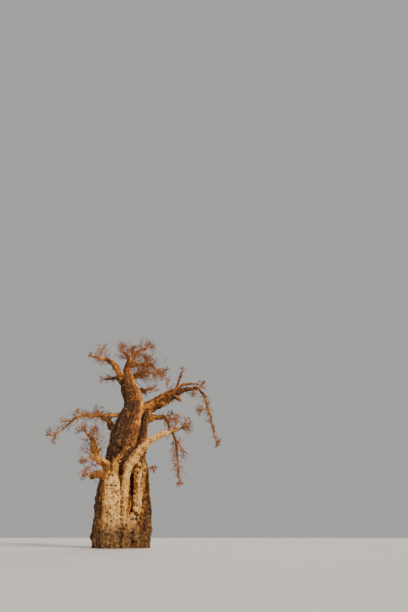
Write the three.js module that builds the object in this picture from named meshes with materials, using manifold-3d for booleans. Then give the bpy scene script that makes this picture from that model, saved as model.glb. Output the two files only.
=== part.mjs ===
// A leafless baobab in millimetres: origin at the middle of the flat cut at its foot, +Z up,
// the viewer at -Y. Stems, boughs and twig masses are worked out from the sizes below.
import * as THREE from "three";
import { mergeVertices } from "three/addons/utils/BufferGeometryUtils.js";
import Module from "manifold-3d";

// General sizes
const GAP = 0.35; // clear space where one solid meets the next
const FORK_HEIGHT = 4400; // top of the trunk, where the leader and the right stem go on
const TREE_TOP = 13000; // above every twig
const FLARE_AMOUNT = 0.09; // how far the root lobes stand out at the foot, as a share of the radius
const FLARE_FADE = 650; // height over which the root lobes die away
const FLUTE_AMOUNT = 0.035; // depth of the upright folds, as a share of the radius
const BULGE_AMOUNT = 0.03; // soft swellings up a stem
const BULGE_PITCH = 1900; // height from one swelling to the next
const KNUCKLE_AMOUNT = 0.07; // uneven thickness of a bough
const KNUCKLE_PITCH = 420; // length of bough from one knuckle to the next
const TWIG_SIDES = 3;
const TWIG_TIP = 5; // radius of a twig where its point begins
const STEM_THICK = 55; // radius of the thickest stem of a mass
const FORK_THICK = 0.47; // radius of a twig at its root, as a share of the twig it forks from
const TWIG_KINK = 0.16; // how far a twig strays from its line, as a share of its length
const GOLDEN_TURN = 2.39996; // spreads the twigs of one mass evenly round its stem
const LIMB_CLEARANCE = 45; // twigs stay this far off the limbs
const ROOT_DEPTH = 90; // how deep a root is sunk before its host is cut away from it

// Stems fused in the trunk. Each row of a course is x, y, z and the radius there.
const STEMS = {
  front: [
    [-420, -330, -150, 800], [-440, -340, 150, 770], [-560, -360, 660, 700],
    [-620, -380, 1220, 660], [-700, -400, 1820, 630], [-800, -410, 2330, 530],
    [-870, -410, 2680, 455], [-880, -400, 2880, 395], [-880, -390, 3030, 210],
  ],
  front_rib: [
    [60, -600, -150, 430], [20, -640, 500, 330], [-70, -720, 1400, 220],
    [-150, -780, 1990, 200], [-220, -820, 2520, 185], [-230, -860, 2900, 200],
  ],
  right: [
    [600, -60, -150, 660], [680, -60, 670, 610], [720, -40, 1260, 520],
    [640, -20, 1870, 470], [560, 0, 2520, 440], [440, 40, 3250, 405],
    [370, 100, 3700, 330], [370, 180, 4700, 290],
  ],
  right_rib: [
    [930, 40, -150, 270], [1010, -20, 670, 220], [1000, -20, 1260, 190],
    [930, -20, 1800, 150], [780, 0, 2350, 110],
  ],
  back: [
    [420, 640, -150, 640], [400, 600, 300, 560], [360, 520, 1260, 430],
    [260, 430, 2500, 350], [120, 330, 3800, 240],
  ],
  core: [[0, 50, -150, 700], [0, 50, 1100, 500], [0, 120, 2400, 280]],
};

// The tall stem that starts in the trunk and is cut level at the fork
const LEADER = [
  [-520, 430, -150, 760], [-630, 420, 670, 765], [-770, 400, 1460, 770],
  [-820, 390, 2150, 760], [-760, 370, 2700, 720], [-660, 350, 3500, 730],
  [-610, 340, 4200, 780], [-530, 330, 5000, 780], [-480, 330, 5500, 730],
  [-370, 330, 6000, 640], [-260, 330, 6500, 560], [-400, 350, 7050, 530],
  [-660, 370, 7600, 500], [-900, 360, 8200, 400], [-1010, 330, 8750, 255],
  [-1000, 300, 9250, 160],
];

// The right stem above the fork, up to the great bough it carries
const RIGHT_STEM = [
  [370, 100, 3700, 330], [370, 180, 4700, 290], [390, 330, 5300, 260],
  [420, 470, 5850, 270], [480, 600, 6400, 320],
];

// Boughs: a course, its number of sides and rings, and any spurs or knobs that stand on it
const BOUGHS = {
  bough_front_right: {
    sides: 10, rings: 11,
    course: [
      [-230, -850, 2700, 180], [-170, -930, 3050, 215], [0, -1080, 3470, 228],
      [270, -1320, 3900, 208], [840, -1680, 4310, 172], [1440, -1970, 4560, 115],
      [2060, -2200, 4750, 68],
    ],
  },
  bough_hanging: {
    sides: 6, rings: 7,
    course: [
      [1700, -2070, 4690, 62], [1830, -2110, 4580, 60], [1950, -2150, 4240, 56],
      [2080, -2150, 3700, 48], [2200, -2100, 2640, 34],
    ],
  },
  bough_left_low: {
    sides: 9, rings: 11,
    course: [
      [-960, -600, 2900, 210], [-1130, -800, 3190, 180], [-1400, -980, 3310, 172],
      [-1660, -1110, 3500, 168], [-1850, -1250, 3820, 156], [-1970, -1300, 4080, 150],
      [-2070, -1380, 4270, 115], [-2310, -1600, 4440, 60],
    ],
    spurs: [[[-1620, -1090, 3440, 150], [-1840, -1220, 3510, 135], [-2030, -1320, 3560, 85]]],
  },
  bough_left_stub: {
    sides: 8, rings: 4,
    course: [
      [-1000, -580, 2760, 200], [-1270, -800, 2830, 178], [-1530, -1000, 2780, 160],
      [-1830, -1200, 2680, 125],
    ],
  },
  bough_centre: {
    sides: 8, rings: 8,
    course: [
      [-860, -560, 2850, 240], [-850, -850, 3170, 215], [-720, -950, 3470, 140],
      [-540, -1000, 3860, 124], [-410, -1000, 4120, 110], [-270, -1010, 4390, 60],
    ],
    knobs: [[-770, -930, 3440, 165]],
  },
  bough_left_long: {
    sides: 7, rings: 10,
    course: [
      [-500, 250, 6000, 180], [-960, 290, 6080, 112], [-1920, 620, 6020, 104],
      [-2860, 950, 6120, 82], [-3520, 1200, 5960, 62], [-4160, 1450, 5330, 38],
    ],
  },
  bough_top_left: {
    sides: 9, rings: 9,
    course: [
      [-1000, 350, 8000, 300], [-1240, 290, 8270, 262], [-1500, 110, 8630, 200],
      [-1770, -90, 8920, 165], [-2040, -250, 9080, 138], [-2400, -400, 9130, 112],
      [-3050, -700, 9030, 60],
    ],
  },
  bough_crown_left: {
    sides: 7, rings: 4,
    course: [
      [-990, 310, 9100, 140], [-970, 310, 9540, 128], [-1110, 240, 9740, 110],
      [-1630, -100, 9960, 58],
    ],
  },
  bough_crown_mid: {
    sides: 7, rings: 6,
    course: [
      [-960, 310, 9050, 140], [-840, 340, 9380, 134], [-730, 500, 9900, 116],
      [-520, 720, 10370, 96], [40, 1000, 10860, 52],
    ],
  },
  bough_crown_right: {
    sides: 7, rings: 6,
    course: [
      [-960, 310, 8950, 150], [-720, 190, 9110, 125], [-270, 0, 9120, 100],
      [290, -250, 9040, 84], [680, -450, 8730, 50],
    ],
  },
  bough_crown_back: {
    sides: 7, rings: 7,
    course: [
      [-860, 420, 8120, 210], [-600, 700, 8420, 150], [-390, 910, 8770, 128],
      [-60, 1170, 8900, 108], [160, 1460, 9220, 90], [760, 1900, 9480, 55],
    ],
  },
  bough_upper_right: {
    sides: 12, rings: 11,
    course: [
      [-60, 500, 6230, 380], [420, 700, 6620, 365], [850, 730, 6850, 355],
      [1230, 650, 7020, 372], [1650, 510, 7300, 360], [2080, 350, 7590, 265],
      [2670, 150, 7770, 150], [3430, -90, 7870, 102],
    ],
    spurs: [
      [[1830, 430, 7420, 170], [2080, 300, 7360, 150], [2440, 110, 7050, 85]],
      [[2050, 340, 7740, 140], [2380, 290, 8050, 95], [2800, 200, 8170, 80], [3500, 10, 8160, 45]],
    ],
    knobs: [[1350, 470, 6930, 230]],
  },
  bough_drooping: {
    sides: 6, rings: 7,
    course: [
      [3370, -90, 7870, 80], [3530, -160, 7740, 82], [3850, -290, 7090, 72],
      [4110, -400, 6210, 57], [4310, -500, 5180, 44], [4370, -550, 4740, 34],
    ],
  },
  bough_upright: {
    sides: 6, rings: 4,
    course: [
      [2160, 350, 7660, 105], [2200, 400, 7960, 88], [2290, 500, 8400, 70],
      [2500, 700, 9220, 36],
    ],
  },
  bough_mid_right: {
    sides: 8, rings: 7,
    course: [
      [80, 420, 5560, 200], [440, 620, 5880, 176], [730, 850, 6080, 166],
      [1160, 1200, 6290, 150], [1560, 1510, 6380, 132], [1860, 1700, 6240, 95],
      [2000, 1820, 5850, 62],
    ],
  },
  bough_small_left: {
    sides: 7, rings: 4,
    course: [
      [-1000, 500, 8150, 150], [-1440, 650, 8330, 120], [-1830, 900, 8440, 90],
      [-2350, 1300, 8500, 48],
    ],
  },
  bough_rear_high: {
    sides: 7, rings: 6,
    course: [
      [-350, 500, 7250, 200], [-60, 780, 7690, 142], [180, 1000, 7770, 122],
      [340, 1260, 8070, 98], [720, 1650, 8230, 52],
    ],
  },
  bough_rear_low: {
    sides: 8, rings: 9,
    course: [
      [-400, 760, 3600, 330], [-420, 1250, 4060, 262], [-260, 1750, 4320, 225],
      [-200, 2250, 4780, 178], [-360, 2700, 5130, 148], [-400, 3150, 5170, 112],
      [-360, 3550, 5530, 62],
    ],
  },
  bough_rear_left: {
    sides: 8, rings: 8,
    course: [
      [-700, 600, 5000, 280], [-1050, 1060, 5430, 222], [-1450, 1330, 5560, 188],
      [-1620, 1750, 6020, 156], [-2020, 2060, 6320, 118], [-2300, 2500, 6600, 68],
    ],
  },
  bough_rear_top: {
    sides: 7, rings: 8,
    course: [
      [-830, 500, 7950, 200], [-700, 900, 8300, 168], [-760, 1180, 8730, 146],
      [-430, 1520, 9080, 120], [-340, 1930, 9380, 94], [-110, 2300, 9740, 56],
    ],
  },
  bough_rear_right: {
    sides: 8, rings: 8,
    course: [
      [800, 850, 6750, 250], [1120, 1250, 7180, 198], [1420, 1420, 7420, 170],
      [1620, 1850, 7640, 142], [1980, 2120, 8050, 108], [2200, 2600, 8400, 60],
    ],
  },
};

// Twig masses: the limb each grows on, how far along it (1 is its tip), the furthest twig tip,
// the room round the line to that tip, and how many main twigs it has
const MASSES = {
  twigs_top_left: ["bough_top_left", 1, [-3310, -900, 9120], 300, 3],
  twigs_top_left_up: ["bough_top_left", 0.82, [-2620, -550, 10100], 560, 4],
  twigs_crown_left: ["bough_crown_left", 1, [-1330, 0, 10440], 600, 5],
  twigs_crown_mid: ["bough_crown_mid", 1, [420, 1200, 11330], 600, 5],
  twigs_crown_mid_side: ["bough_crown_mid", 0.42, [-830, 400, 10650], 600, 5],
  twigs_crown_right: ["bough_crown_right", 1, [1140, -500, 8230], 620, 4],
  twigs_crown_right_up: ["bough_crown_right", 0.55, [160, -300, 9720], 650, 6],
  twigs_crown_back: ["bough_crown_back", 1, [1720, 2400, 9890], 750, 4],
  twigs_crown_back_side: ["bough_crown_back", 0.6, [420, 1050, 9900], 650, 5],
  twigs_upper_right: ["bough_upper_right", 1, [3840, 60, 8330], 520, 4],
  twigs_upper_right_low: ["bough_upper_right", 0.94, [3110, -300, 7190], 380, 3],
  twigs_upper_right_up: ["bough_upper_right", 0.56, [1480, 500, 8870], 330, 3],
  twigs_upright: ["bough_upright", 1, [2600, 800, 9560], 300, 3],
  twigs_drooping: ["bough_drooping", 1, [4620, -700, 4450], 400, 4],
  twigs_drooping_side: ["bough_drooping", 0.46, [3250, -300, 6380], 420, 4],
  twigs_mid_right: ["bough_mid_right", 1, [2120, 2080, 5480], 430, 4],
  twigs_mid_right_up: ["bough_mid_right", 0.72, [2220, 2000, 6900], 430, 3],
  twigs_front_right: ["bough_front_right", 1, [2690, -2600, 5020], 600, 5],
  twigs_front_right_up: ["bough_front_right", 0.94, [1900, -2300, 5510], 560, 4],
  twigs_hanging: ["bough_hanging", 1, [2290, -2100, 2250], 300, 3],
  twigs_hanging_side: ["bough_hanging", 0.16, [2610, -2200, 3330], 330, 3],
  twigs_left_low: ["bough_left_low", 1, [-2790, -1900, 4770], 480, 4],
  twigs_left_low_up: ["bough_left_low", 0.86, [-2120, -1400, 4950], 400, 3],
  twigs_left_low_side: ["bough_left_low", [-1930, -1270, 3530], [-2430, -1450, 3130], 380, 3],
  twigs_left_stub: ["bough_left_stub", 1, [-2320, -1500, 2880], 430, 4],
  twigs_centre: ["bough_centre", 1, [-240, -1100, 4690], 300, 3],
  twigs_left_long: ["bough_left_long", 1, [-4900, 1800, 5050], 720, 5],
  twigs_left_long_up: ["bough_left_long", 0.62, [-3680, 1100, 6490], 400, 3],
  twigs_left_long_fan: ["bough_left_long", 0.84, [-4610, 1420, 6010], 430, 3],
  twigs_small_left: ["bough_small_left", 1, [-2720, 1700, 8620], 380, 3],
  twigs_right_stem: ["trunk", [760, 60, 3300], [1380, 200, 3410], 320, 3],
  twigs_rear_high: ["bough_rear_high", 1, [1000, 2150, 8550], 520, 3],
  twigs_rear_low: ["bough_rear_low", 1, [-250, 4250, 5950], 900, 4],
  twigs_rear_left: ["bough_rear_left", 1, [-2850, 3050, 7000], 760, 4],
  twigs_rear_top: ["bough_rear_top", 1, [100, 2950, 10450], 820, 4],
  twigs_rear_right: ["bough_rear_right", 1, [2550, 3150, 8950], 800, 3],
};

const PALE_BARK = { color: 0xcdae8a, roughness: 0.85, metalness: 0 };
const COPPER_BARK = { color: 0x9a6a45, roughness: 0.85, metalness: 0 };
const TWIG_BARK = { color: 0x6b4c40, roughness: 0.9, metalness: 0 };
const PALE_LIMBS = new Set([
  "trunk", "bough_front_right", "bough_left_low", "bough_left_stub", "bough_centre",
]);

const wasm = await Module();
wasm.setup();

// The same numbers every time from one seed.
function seeded(seed) {
  let state = seed >>> 0;
  return () => {
    state = (Math.imul(state, 1664525) + 1013904223) >>> 0;
    return state / 4294967296;
  };
}

function vector([x, y, z]) {
  return new THREE.Vector3(x, y, z);
}

function toSolid(geometry) {
  return new wasm.Manifold(new wasm.Mesh({
    numProp: 3,
    vertProperties: new Float32Array(geometry.attributes.position.array),
    triVerts: new Uint32Array(geometry.index.array),
  }));
}

// The smooth line through a course, with the radius at any share of its length.
function limbLine(course) {
  const curve = new THREE.CatmullRomCurve3(course.map(vector), false, "centripetal");
  const steps = 60 * (course.length - 1);
  const lengths = curve.getLengths(steps);
  const total = lengths[steps];
  const marks = course.map((_, i) => lengths[60 * i] / total);
  const radius = (share) => {
    let i = 1;
    while (i < marks.length - 1 && share > marks[i]) i += 1;
    const part = (share - marks[i - 1]) / (marks[i] - marks[i - 1]);
    return THREE.MathUtils.lerp(course[i - 1][3], course[i][3], THREE.MathUtils.clamp(part, 0, 1));
  };
  return { curve, radius, total };
}

// A round solid drawn along a course. "relief" turns angle, length and height into a share of the
// radius, "grow" makes it that much fatter and longer all round, "pointed" ends it in a point.
function sweep(course, sides, rings, { relief = () => 1, grow = 0, pointed = false } = {}) {
  const line = limbLine(course);
  const frames = line.curve.computeFrenetFrames(rings, false);
  const shape = new THREE.CylinderGeometry(pointed ? 0 : 1, 1, 1, sides, rings);
  shape.deleteAttribute("uv");
  shape.deleteAttribute("normal");
  const tube = mergeVertices(shape, 1e-4);
  const place = tube.attributes.position;
  for (let i = 0; i < place.count; i += 1) {
    const ring = Math.round((place.getY(i) + 0.5) * rings);
    const share = ring / rings;
    const turn = Math.atan2(place.getX(i), place.getZ(i));
    const onAxis = Math.hypot(place.getX(i), place.getZ(i)) < 1e-6;
    const centre = line.curve.getPointAt(share);
    const swell = relief(turn, share * line.total, centre.z);
    const radius = onAxis ? 0 : line.radius(share) * swell + grow;
    if (ring === 0) centre.addScaledVector(frames.tangents[0], -grow);
    if (ring === rings) centre.addScaledVector(frames.tangents[rings], grow);
    centre.addScaledVector(frames.binormals[ring], radius * Math.sin(turn));
    centre.addScaledVector(frames.normals[ring], radius * Math.cos(turn));
    place.setXYZ(i, centre.x, centre.y, centre.z);
  }
  return toSolid(tube);
}

function join(solids) {
  return solids.reduce((whole, solid) => whole.add(solid));
}

// The one body left when loose scrap is dropped.
function largest(solid) {
  return solid.decompose().reduce((best, piece) => (piece.volume() > best.volume() ? piece : best));
}

function slab(low, high) {
  const box = new THREE.BoxGeometry(14000, 14000, high - low);
  box.deleteAttribute("uv");
  box.deleteAttribute("normal");
  box.translate(0, 0, (low + high) / 2);
  return toSolid(mergeVertices(box, 1e-4));
}

// Root lobes, upright folds and soft swellings of a stem.
function stemRelief(lobes, phase) {
  return (turn, length, height) => 1
    + FLARE_AMOUNT * Math.exp(-Math.max(height, 0) / FLARE_FADE) * Math.cos(lobes * turn + phase)
    + FLUTE_AMOUNT * Math.sin((lobes + 4) * turn + 3 * phase + height / 1400)
    + BULGE_AMOUNT * Math.sin((height / BULGE_PITCH) * 2 * Math.PI + phase + turn);
}

// Uneven thickness of a bough.
function boughRelief(phase) {
  return (turn, length) => 1
    + KNUCKLE_AMOUNT * Math.sin((length / KNUCKLE_PITCH) * 2 * Math.PI + phase) * 0.6
    + KNUCKLE_AMOUNT * Math.sin(3 * turn + length / KNUCKLE_PITCH + phase) * 0.7;
}

function knob([x, y, z, radius], grow) {
  const ball = new THREE.SphereGeometry(radius + grow, 9, 6);
  ball.deleteAttribute("uv");
  ball.deleteAttribute("normal");
  ball.translate(x, y, z);
  return toSolid(mergeVertices(ball, 1e-3));
}

function drawLeader(grow) {
  return sweep(LEADER, 24, 25, { relief: stemRelief(4, 0.7), grow });
}

function drawTrunk(grow) {
  const columns = Object.values(STEMS).map((course, i) => {
    const thick = course[0][3];
    return sweep(course, thick > 700 ? 26 : 16, thick > 700 ? 13 : 9, {
      relief: stemRelief(5 + (i % 2), 1.3 * i), grow,
    });
  });
  return join([drawLeader(grow), ...columns])
    .intersect(slab(-grow, FORK_HEIGHT + grow));
}

function drawBough(spec, phase, grow) {
  const relief = boughRelief(phase);
  const body = sweep(spec.course, spec.sides, spec.rings, { relief, grow });
  const spurs = (spec.spurs ?? []).map((course) => sweep(course, 6, 3, { relief, grow }));
  return join([body, ...spurs, ...(spec.knobs ?? []).map((size) => knob(size, grow))]);
}

// Every limb with its own solid and the slightly grown copy its neighbours are cut by.
function buildLimbs() {
  const above = slab(FORK_HEIGHT + GAP, TREE_TOP);
  const draw = {
    trunk: drawTrunk,
    leader: (grow) => drawLeader(grow).intersect(above),
    right_stem: (grow) => sweep(RIGHT_STEM, 12, 6, { relief: stemRelief(3, 2), grow })
      .intersect(above),
  };
  Object.entries(BOUGHS).forEach(([name, spec], i) => {
    draw[name] = (grow) => drawBough(spec, 1.7 * i, grow);
  });
  const limbs = [];
  for (const [name, make] of Object.entries(draw)) {
    const solid = clearOf(make(0), limbs);
    limbs.push({ name, solid, grown: make(GAP) });
  }
  return limbs;
}

function boxesMeet(a, b) {
  return [0, 1, 2].every((k) => a.min[k] <= b.max[k] && b.min[k] <= a.max[k]);
}

// The solid with every grown limb it meets cut out of it.
function clearOf(solid, limbs) {
  const box = solid.boundingBox();
  const near = limbs.filter((limb) => boxesMeet(limb.grown.boundingBox(), box));
  return largest(near.reduce((rest, limb) => rest.subtract(limb.grown), solid));
}

// Points along each limb's middle with the radius there, for keeping twigs off the limbs.
function limbSamples() {
  const courses = [
    ...Object.values(STEMS).map((course) => ["trunk", course]),
    ["trunk", LEADER.slice(0, 6)], ["leader", LEADER.slice(5)], ["right_stem", RIGHT_STEM],
  ];
  for (const [name, spec] of Object.entries(BOUGHS)) {
    courses.push([name, spec.course], ...(spec.spurs ?? []).map((course) => [name, course]));
  }
  return courses.flatMap(([name, course]) => {
    const line = limbLine(course);
    return Array.from({ length: 31 }, (_, i) => ({
      name, at: line.curve.getPointAt(i / 30), radius: line.radius(i / 30),
    }));
  });
}

// Where a mass starts, how it points, and the room it keeps to.
function massSpace([host, along, tip, room]) {
  const far = vector(tip);
  const line = Array.isArray(along) ? null : limbLine(BOUGHS[host].course);
  const start = line ? line.curve.getPointAt(along) : vector(along);
  const thick = line ? line.radius(along) : 60;
  const lead = line && along === 1 ? line.curve.getTangentAt(1) : far.clone().sub(start).normalize();
  return { host, start, far, room, thick, lead, span: new THREE.Line3(start, far) };
}

// How near a point is to the middle of a mass: 1 at the edge of its room.
function nearness(space, point) {
  const closest = space.span.closestPointToPoint(point, true, new THREE.Vector3());
  return closest.distanceTo(point) / space.room;
}

function inOwnSpace(space, spaces, point) {
  const own = nearness(space, point);
  return own < 1.05 && spaces.every((other) => other === space || nearness(other, point) > own);
}

function offLimbs(point, samples) {
  return samples.every(({ at, radius }) => at.distanceTo(point) > radius * 1.12 + LIMB_CLEARANCE);
}

// A crooked line from root to tip that sets off along "lead".
function twigCourse(root, tip, lead, joints, thick, random) {
  const length = root.distanceTo(tip);
  const middle = root.clone().addScaledVector(lead, length * 0.45);
  const bend = new THREE.QuadraticBezierCurve3(root, middle, tip);
  return Array.from({ length: joints + 1 }, (_, i) => {
    const share = i / joints;
    const point = bend.getPoint(share);
    const stray = length * TWIG_KINK * Math.sin(Math.PI * share) * share;
    point.x += (random() - 0.5) * 2 * stray;
    point.y += (random() - 0.5) * 2 * stray;
    point.z += (random() - 0.5) * 2 * stray;
    return [point.x, point.y, point.z, THREE.MathUtils.lerp(thick, TWIG_TIP, share)];
  });
}

// A twig rooted inside the twig it forks from, no thicker than fits there.
function forkFrom(line, share, tip, joints, random) {
  const root = line.curve.getPointAt(share);
  const lead = line.curve.getTangentAt(share);
  return twigCourse(root, tip, lead, joints, line.radius(share) * FORK_THICK, random);
}

// The tip of a side twig: onwards and outwards from its place on the main twig.
function sideTip(line, share, random) {
  const lead = line.curve.getTangentAt(share);
  const aside = new THREE.Vector3(random() - 0.5, random() - 0.5, random() - 0.5)
    .cross(lead).normalize();
  const reach = line.total * (0.3 + 0.25 * random());
  return line.curve.getPointAt(share)
    .addScaledVector(lead, reach * 0.7).addScaledVector(aside, reach * 0.7);
}

// The targets of the main twigs: they fan out round the line to the furthest tip.
function fanTargets(space, count, random) {
  const axis = space.far.clone().sub(space.start);
  const length = axis.length();
  axis.normalize();
  const side = new THREE.Vector3(0.3, -0.8, 0.5).cross(axis).normalize();
  const other = axis.clone().cross(side);
  const phase = random() * 2 * Math.PI;
  return Array.from({ length: count }, (_, i) => {
    const turn = phase + GOLDEN_TURN * i;
    const out = space.room * (0.6 + 0.35 * random());
    return space.start.clone()
      .addScaledVector(axis, length * (0.55 + 0.4 * random()))
      .addScaledVector(side, out * Math.cos(turn))
      .addScaledVector(other, out * Math.sin(turn));
  });
}

function courseFits(course, from, space, spaces, samples) {
  return course.slice(from).every((row) => {
    const point = vector(row);
    return inOwnSpace(space, spaces, point) && offLimbs(point, samples);
  });
}

// One mass: a stem sunk in its limb that runs on to the furthest tip, main twigs that fork from
// it, and side twigs on those.
function growMass(space, spaces, samples, count, random) {
  const foot = space.start.clone().addScaledVector(space.lead, -ROOT_DEPTH);
  const thick = THREE.MathUtils.clamp(space.thick * 0.9, 40, STEM_THICK);
  const stem = twigCourse(foot, space.far, space.lead, 5, thick, random);
  const stemLine = limbLine(stem);
  const twigs = [sweep(stem, TWIG_SIDES, 5, { pointed: true })];
  fanTargets(space, count, random).forEach((target, i) => {
    const main = forkFrom(stemLine, 0.14 + (0.5 * i) / count, target, 3, random);
    if (!courseFits(main, 2, space, spaces, samples)) return;
    twigs.push(sweep(main, TWIG_SIDES, 3, { pointed: true }));
    const line = limbLine(main);
    const share = 0.35 + 0.3 * random();
    const side = forkFrom(line, share, sideTip(line, share, random), 2, random);
    if (!courseFits(side, 1, space, spaces, samples)) return;
    twigs.push(sweep(side, TWIG_SIDES, 2, { pointed: true }));
  });
  return join(twigs);
}

function buildMasses(limbs) {
  const names = Object.keys(MASSES);
  const spaces = names.map((name) => massSpace(MASSES[name]));
  const samples = limbSamples();
  return names.map((name, i) => {
    const random = seeded(1009 * (i + 1));
    const grown = growMass(spaces[i], spaces, samples, MASSES[name][4], random);
    return { name, solid: clearOf(grown, limbs) };
  });
}

function toMesh({ name, solid }, finish) {
  const { vertProperties, triVerts } = solid.getMesh();
  const geometry = new THREE.BufferGeometry();
  geometry.setAttribute("position", new THREE.BufferAttribute(new Float32Array(vertProperties), 3));
  geometry.setIndex(new THREE.BufferAttribute(new Uint32Array(triVerts), 1));
  geometry.computeVertexNormals();
  const mesh = new THREE.Mesh(geometry, new THREE.MeshStandardMaterial(finish));
  mesh.name = name;
  return mesh;
}

const tree = new THREE.Group();
tree.name = "baobab";
const limbs = buildLimbs();
for (const limb of limbs) {
  tree.add(toMesh(limb, PALE_LIMBS.has(limb.name) ? PALE_BARK : COPPER_BARK));
}
for (const mass of buildMasses(limbs)) tree.add(toMesh(mass, TWIG_BARK));

export default tree;
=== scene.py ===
"""A leafless baobab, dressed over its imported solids: folded bark, crooked boughs and fine twigs."""

import logging
import math
from collections.abc import Callable, Iterator
from dataclasses import dataclass
from enum import Enum

import bmesh
import bpy
import numpy as np
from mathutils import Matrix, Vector

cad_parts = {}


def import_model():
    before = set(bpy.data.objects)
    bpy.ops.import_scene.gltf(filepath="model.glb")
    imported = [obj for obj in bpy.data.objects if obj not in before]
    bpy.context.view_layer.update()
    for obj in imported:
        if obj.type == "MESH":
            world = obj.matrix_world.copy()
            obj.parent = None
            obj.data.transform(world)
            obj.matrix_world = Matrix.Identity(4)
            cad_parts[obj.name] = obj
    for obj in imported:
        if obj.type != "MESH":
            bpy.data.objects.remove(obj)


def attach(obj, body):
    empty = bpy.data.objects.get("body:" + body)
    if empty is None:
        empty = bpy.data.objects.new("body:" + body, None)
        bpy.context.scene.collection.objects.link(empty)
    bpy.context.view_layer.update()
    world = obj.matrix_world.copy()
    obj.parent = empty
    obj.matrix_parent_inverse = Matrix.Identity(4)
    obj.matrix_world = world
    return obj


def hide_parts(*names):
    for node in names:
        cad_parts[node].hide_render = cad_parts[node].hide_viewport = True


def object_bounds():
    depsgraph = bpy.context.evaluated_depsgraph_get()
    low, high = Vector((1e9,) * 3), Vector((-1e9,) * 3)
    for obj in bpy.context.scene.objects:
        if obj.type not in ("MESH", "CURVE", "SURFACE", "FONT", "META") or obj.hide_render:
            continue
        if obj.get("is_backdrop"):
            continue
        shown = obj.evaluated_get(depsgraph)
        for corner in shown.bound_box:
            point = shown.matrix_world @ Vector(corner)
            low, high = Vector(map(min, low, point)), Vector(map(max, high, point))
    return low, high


log = logging.getLogger("baobab")

MM = 0.001
BODY = "root"

# The rule that the solids were drawn by, in millimetres and shares
FORK_HEIGHT = 4400
FLARE_AMOUNT = 0.09
FLARE_FADE = 650
FLUTE_AMOUNT = 0.035
BULGE_AMOUNT = 0.03
BULGE_PITCH = 1900
KNUCKLE_AMOUNT = 0.07
KNUCKLE_PITCH = 420
TWIG_TIP = 5
STEM_THICK = 55
STEM_THIN = 40
FORK_THICK = 0.47
TWIG_KINK = 0.16
LEAD_SHARE = 0.45
GOLDEN_TURN = 2.39996
LIMB_CLEARANCE = 45
ROOT_DEPTH = 90
TRUNK_TWIG_HOST = 60

# How far finer twigs may pass the solids' box, as a share of its sides
BOX_SLACK = 0.012

# A stem whose foot is thicker than this radius in millimetres gets more sides
STOUT_STEM = 700
# A bough whose end is thinner than this radius in metres gets finer folds
THIN_BOUGH = 0.075

Array = np.ndarray
Object = bpy.types.Object
Mesh = bpy.types.Mesh
Material = bpy.types.Material
NodeTree = bpy.types.NodeTree
Socket = bpy.types.NodeSocket
Course = list[list[float]]
Relief = Callable[..., Array]
# Groups of courses of one length, each with its number of sides and its finish
Twigs = list[tuple[Array, int, int]]

# Stems fused in the trunk. Each row of a course is x, y, z and the radius there.
STEMS: dict[str, Course] = {
    "front": [
        [-420, -330, -150, 800], [-440, -340, 150, 770], [-560, -360, 660, 700],
        [-620, -380, 1220, 660], [-700, -400, 1820, 630], [-800, -410, 2330, 530],
        [-870, -410, 2680, 455], [-880, -400, 2880, 395], [-880, -390, 3030, 210],
    ],
    "front_rib": [
        [60, -600, -150, 430], [20, -640, 500, 330], [-70, -720, 1400, 220],
        [-150, -780, 1990, 200], [-220, -820, 2520, 185], [-230, -860, 2900, 200],
    ],
    "right": [
        [600, -60, -150, 660], [680, -60, 670, 610], [720, -40, 1260, 520],
        [640, -20, 1870, 470], [560, 0, 2520, 440], [440, 40, 3250, 405],
        [370, 100, 3700, 330], [370, 180, 4700, 290],
    ],
    "right_rib": [
        [930, 40, -150, 270], [1010, -20, 670, 220], [1000, -20, 1260, 190],
        [930, -20, 1800, 150], [780, 0, 2350, 110],
    ],
    "back": [
        [420, 640, -150, 640], [400, 600, 300, 560], [360, 520, 1260, 430],
        [260, 430, 2500, 350], [120, 330, 3800, 240],
    ],
    "core": [[0, 50, -150, 700], [0, 50, 1100, 500], [0, 120, 2400, 280]],
}

LEADER: Course = [
    [-520, 430, -150, 760], [-630, 420, 670, 765], [-770, 400, 1460, 770],
    [-820, 390, 2150, 760], [-760, 370, 2700, 720], [-660, 350, 3500, 730],
    [-610, 340, 4200, 780], [-530, 330, 5000, 780], [-480, 330, 5500, 730],
    [-370, 330, 6000, 640], [-260, 330, 6500, 560], [-400, 350, 7050, 530],
    [-660, 370, 7600, 500], [-900, 360, 8200, 400], [-1010, 330, 8750, 255],
    [-1000, 300, 9250, 160],
]

RIGHT_STEM: Course = [
    [370, 100, 3700, 330], [370, 180, 4700, 290], [390, 330, 5300, 260],
    [420, 470, 5850, 270], [480, 600, 6400, 320],
]


@dataclass(frozen=True)
class Bough:
    """One bough: its course, spurs and knobs, how coppery its bark is, and its side twigs.

    Its tone may change towards the tip. The twigs start at a share of its length, and are that
    long in metres at most.
    """

    course: Course
    tone: float = 0.7
    tone_tip: float | None = None
    voxel: float = 0.014
    spurs: tuple[Course, ...] = ()
    knobs: tuple[tuple[float, float, float, float], ...] = ()
    twigs_from: float = 0.45
    twigs_long: float = 0.45
    twigs_rise: float = 0.1
    twigs_each: tuple[int, int] = (3, 2)


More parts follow.
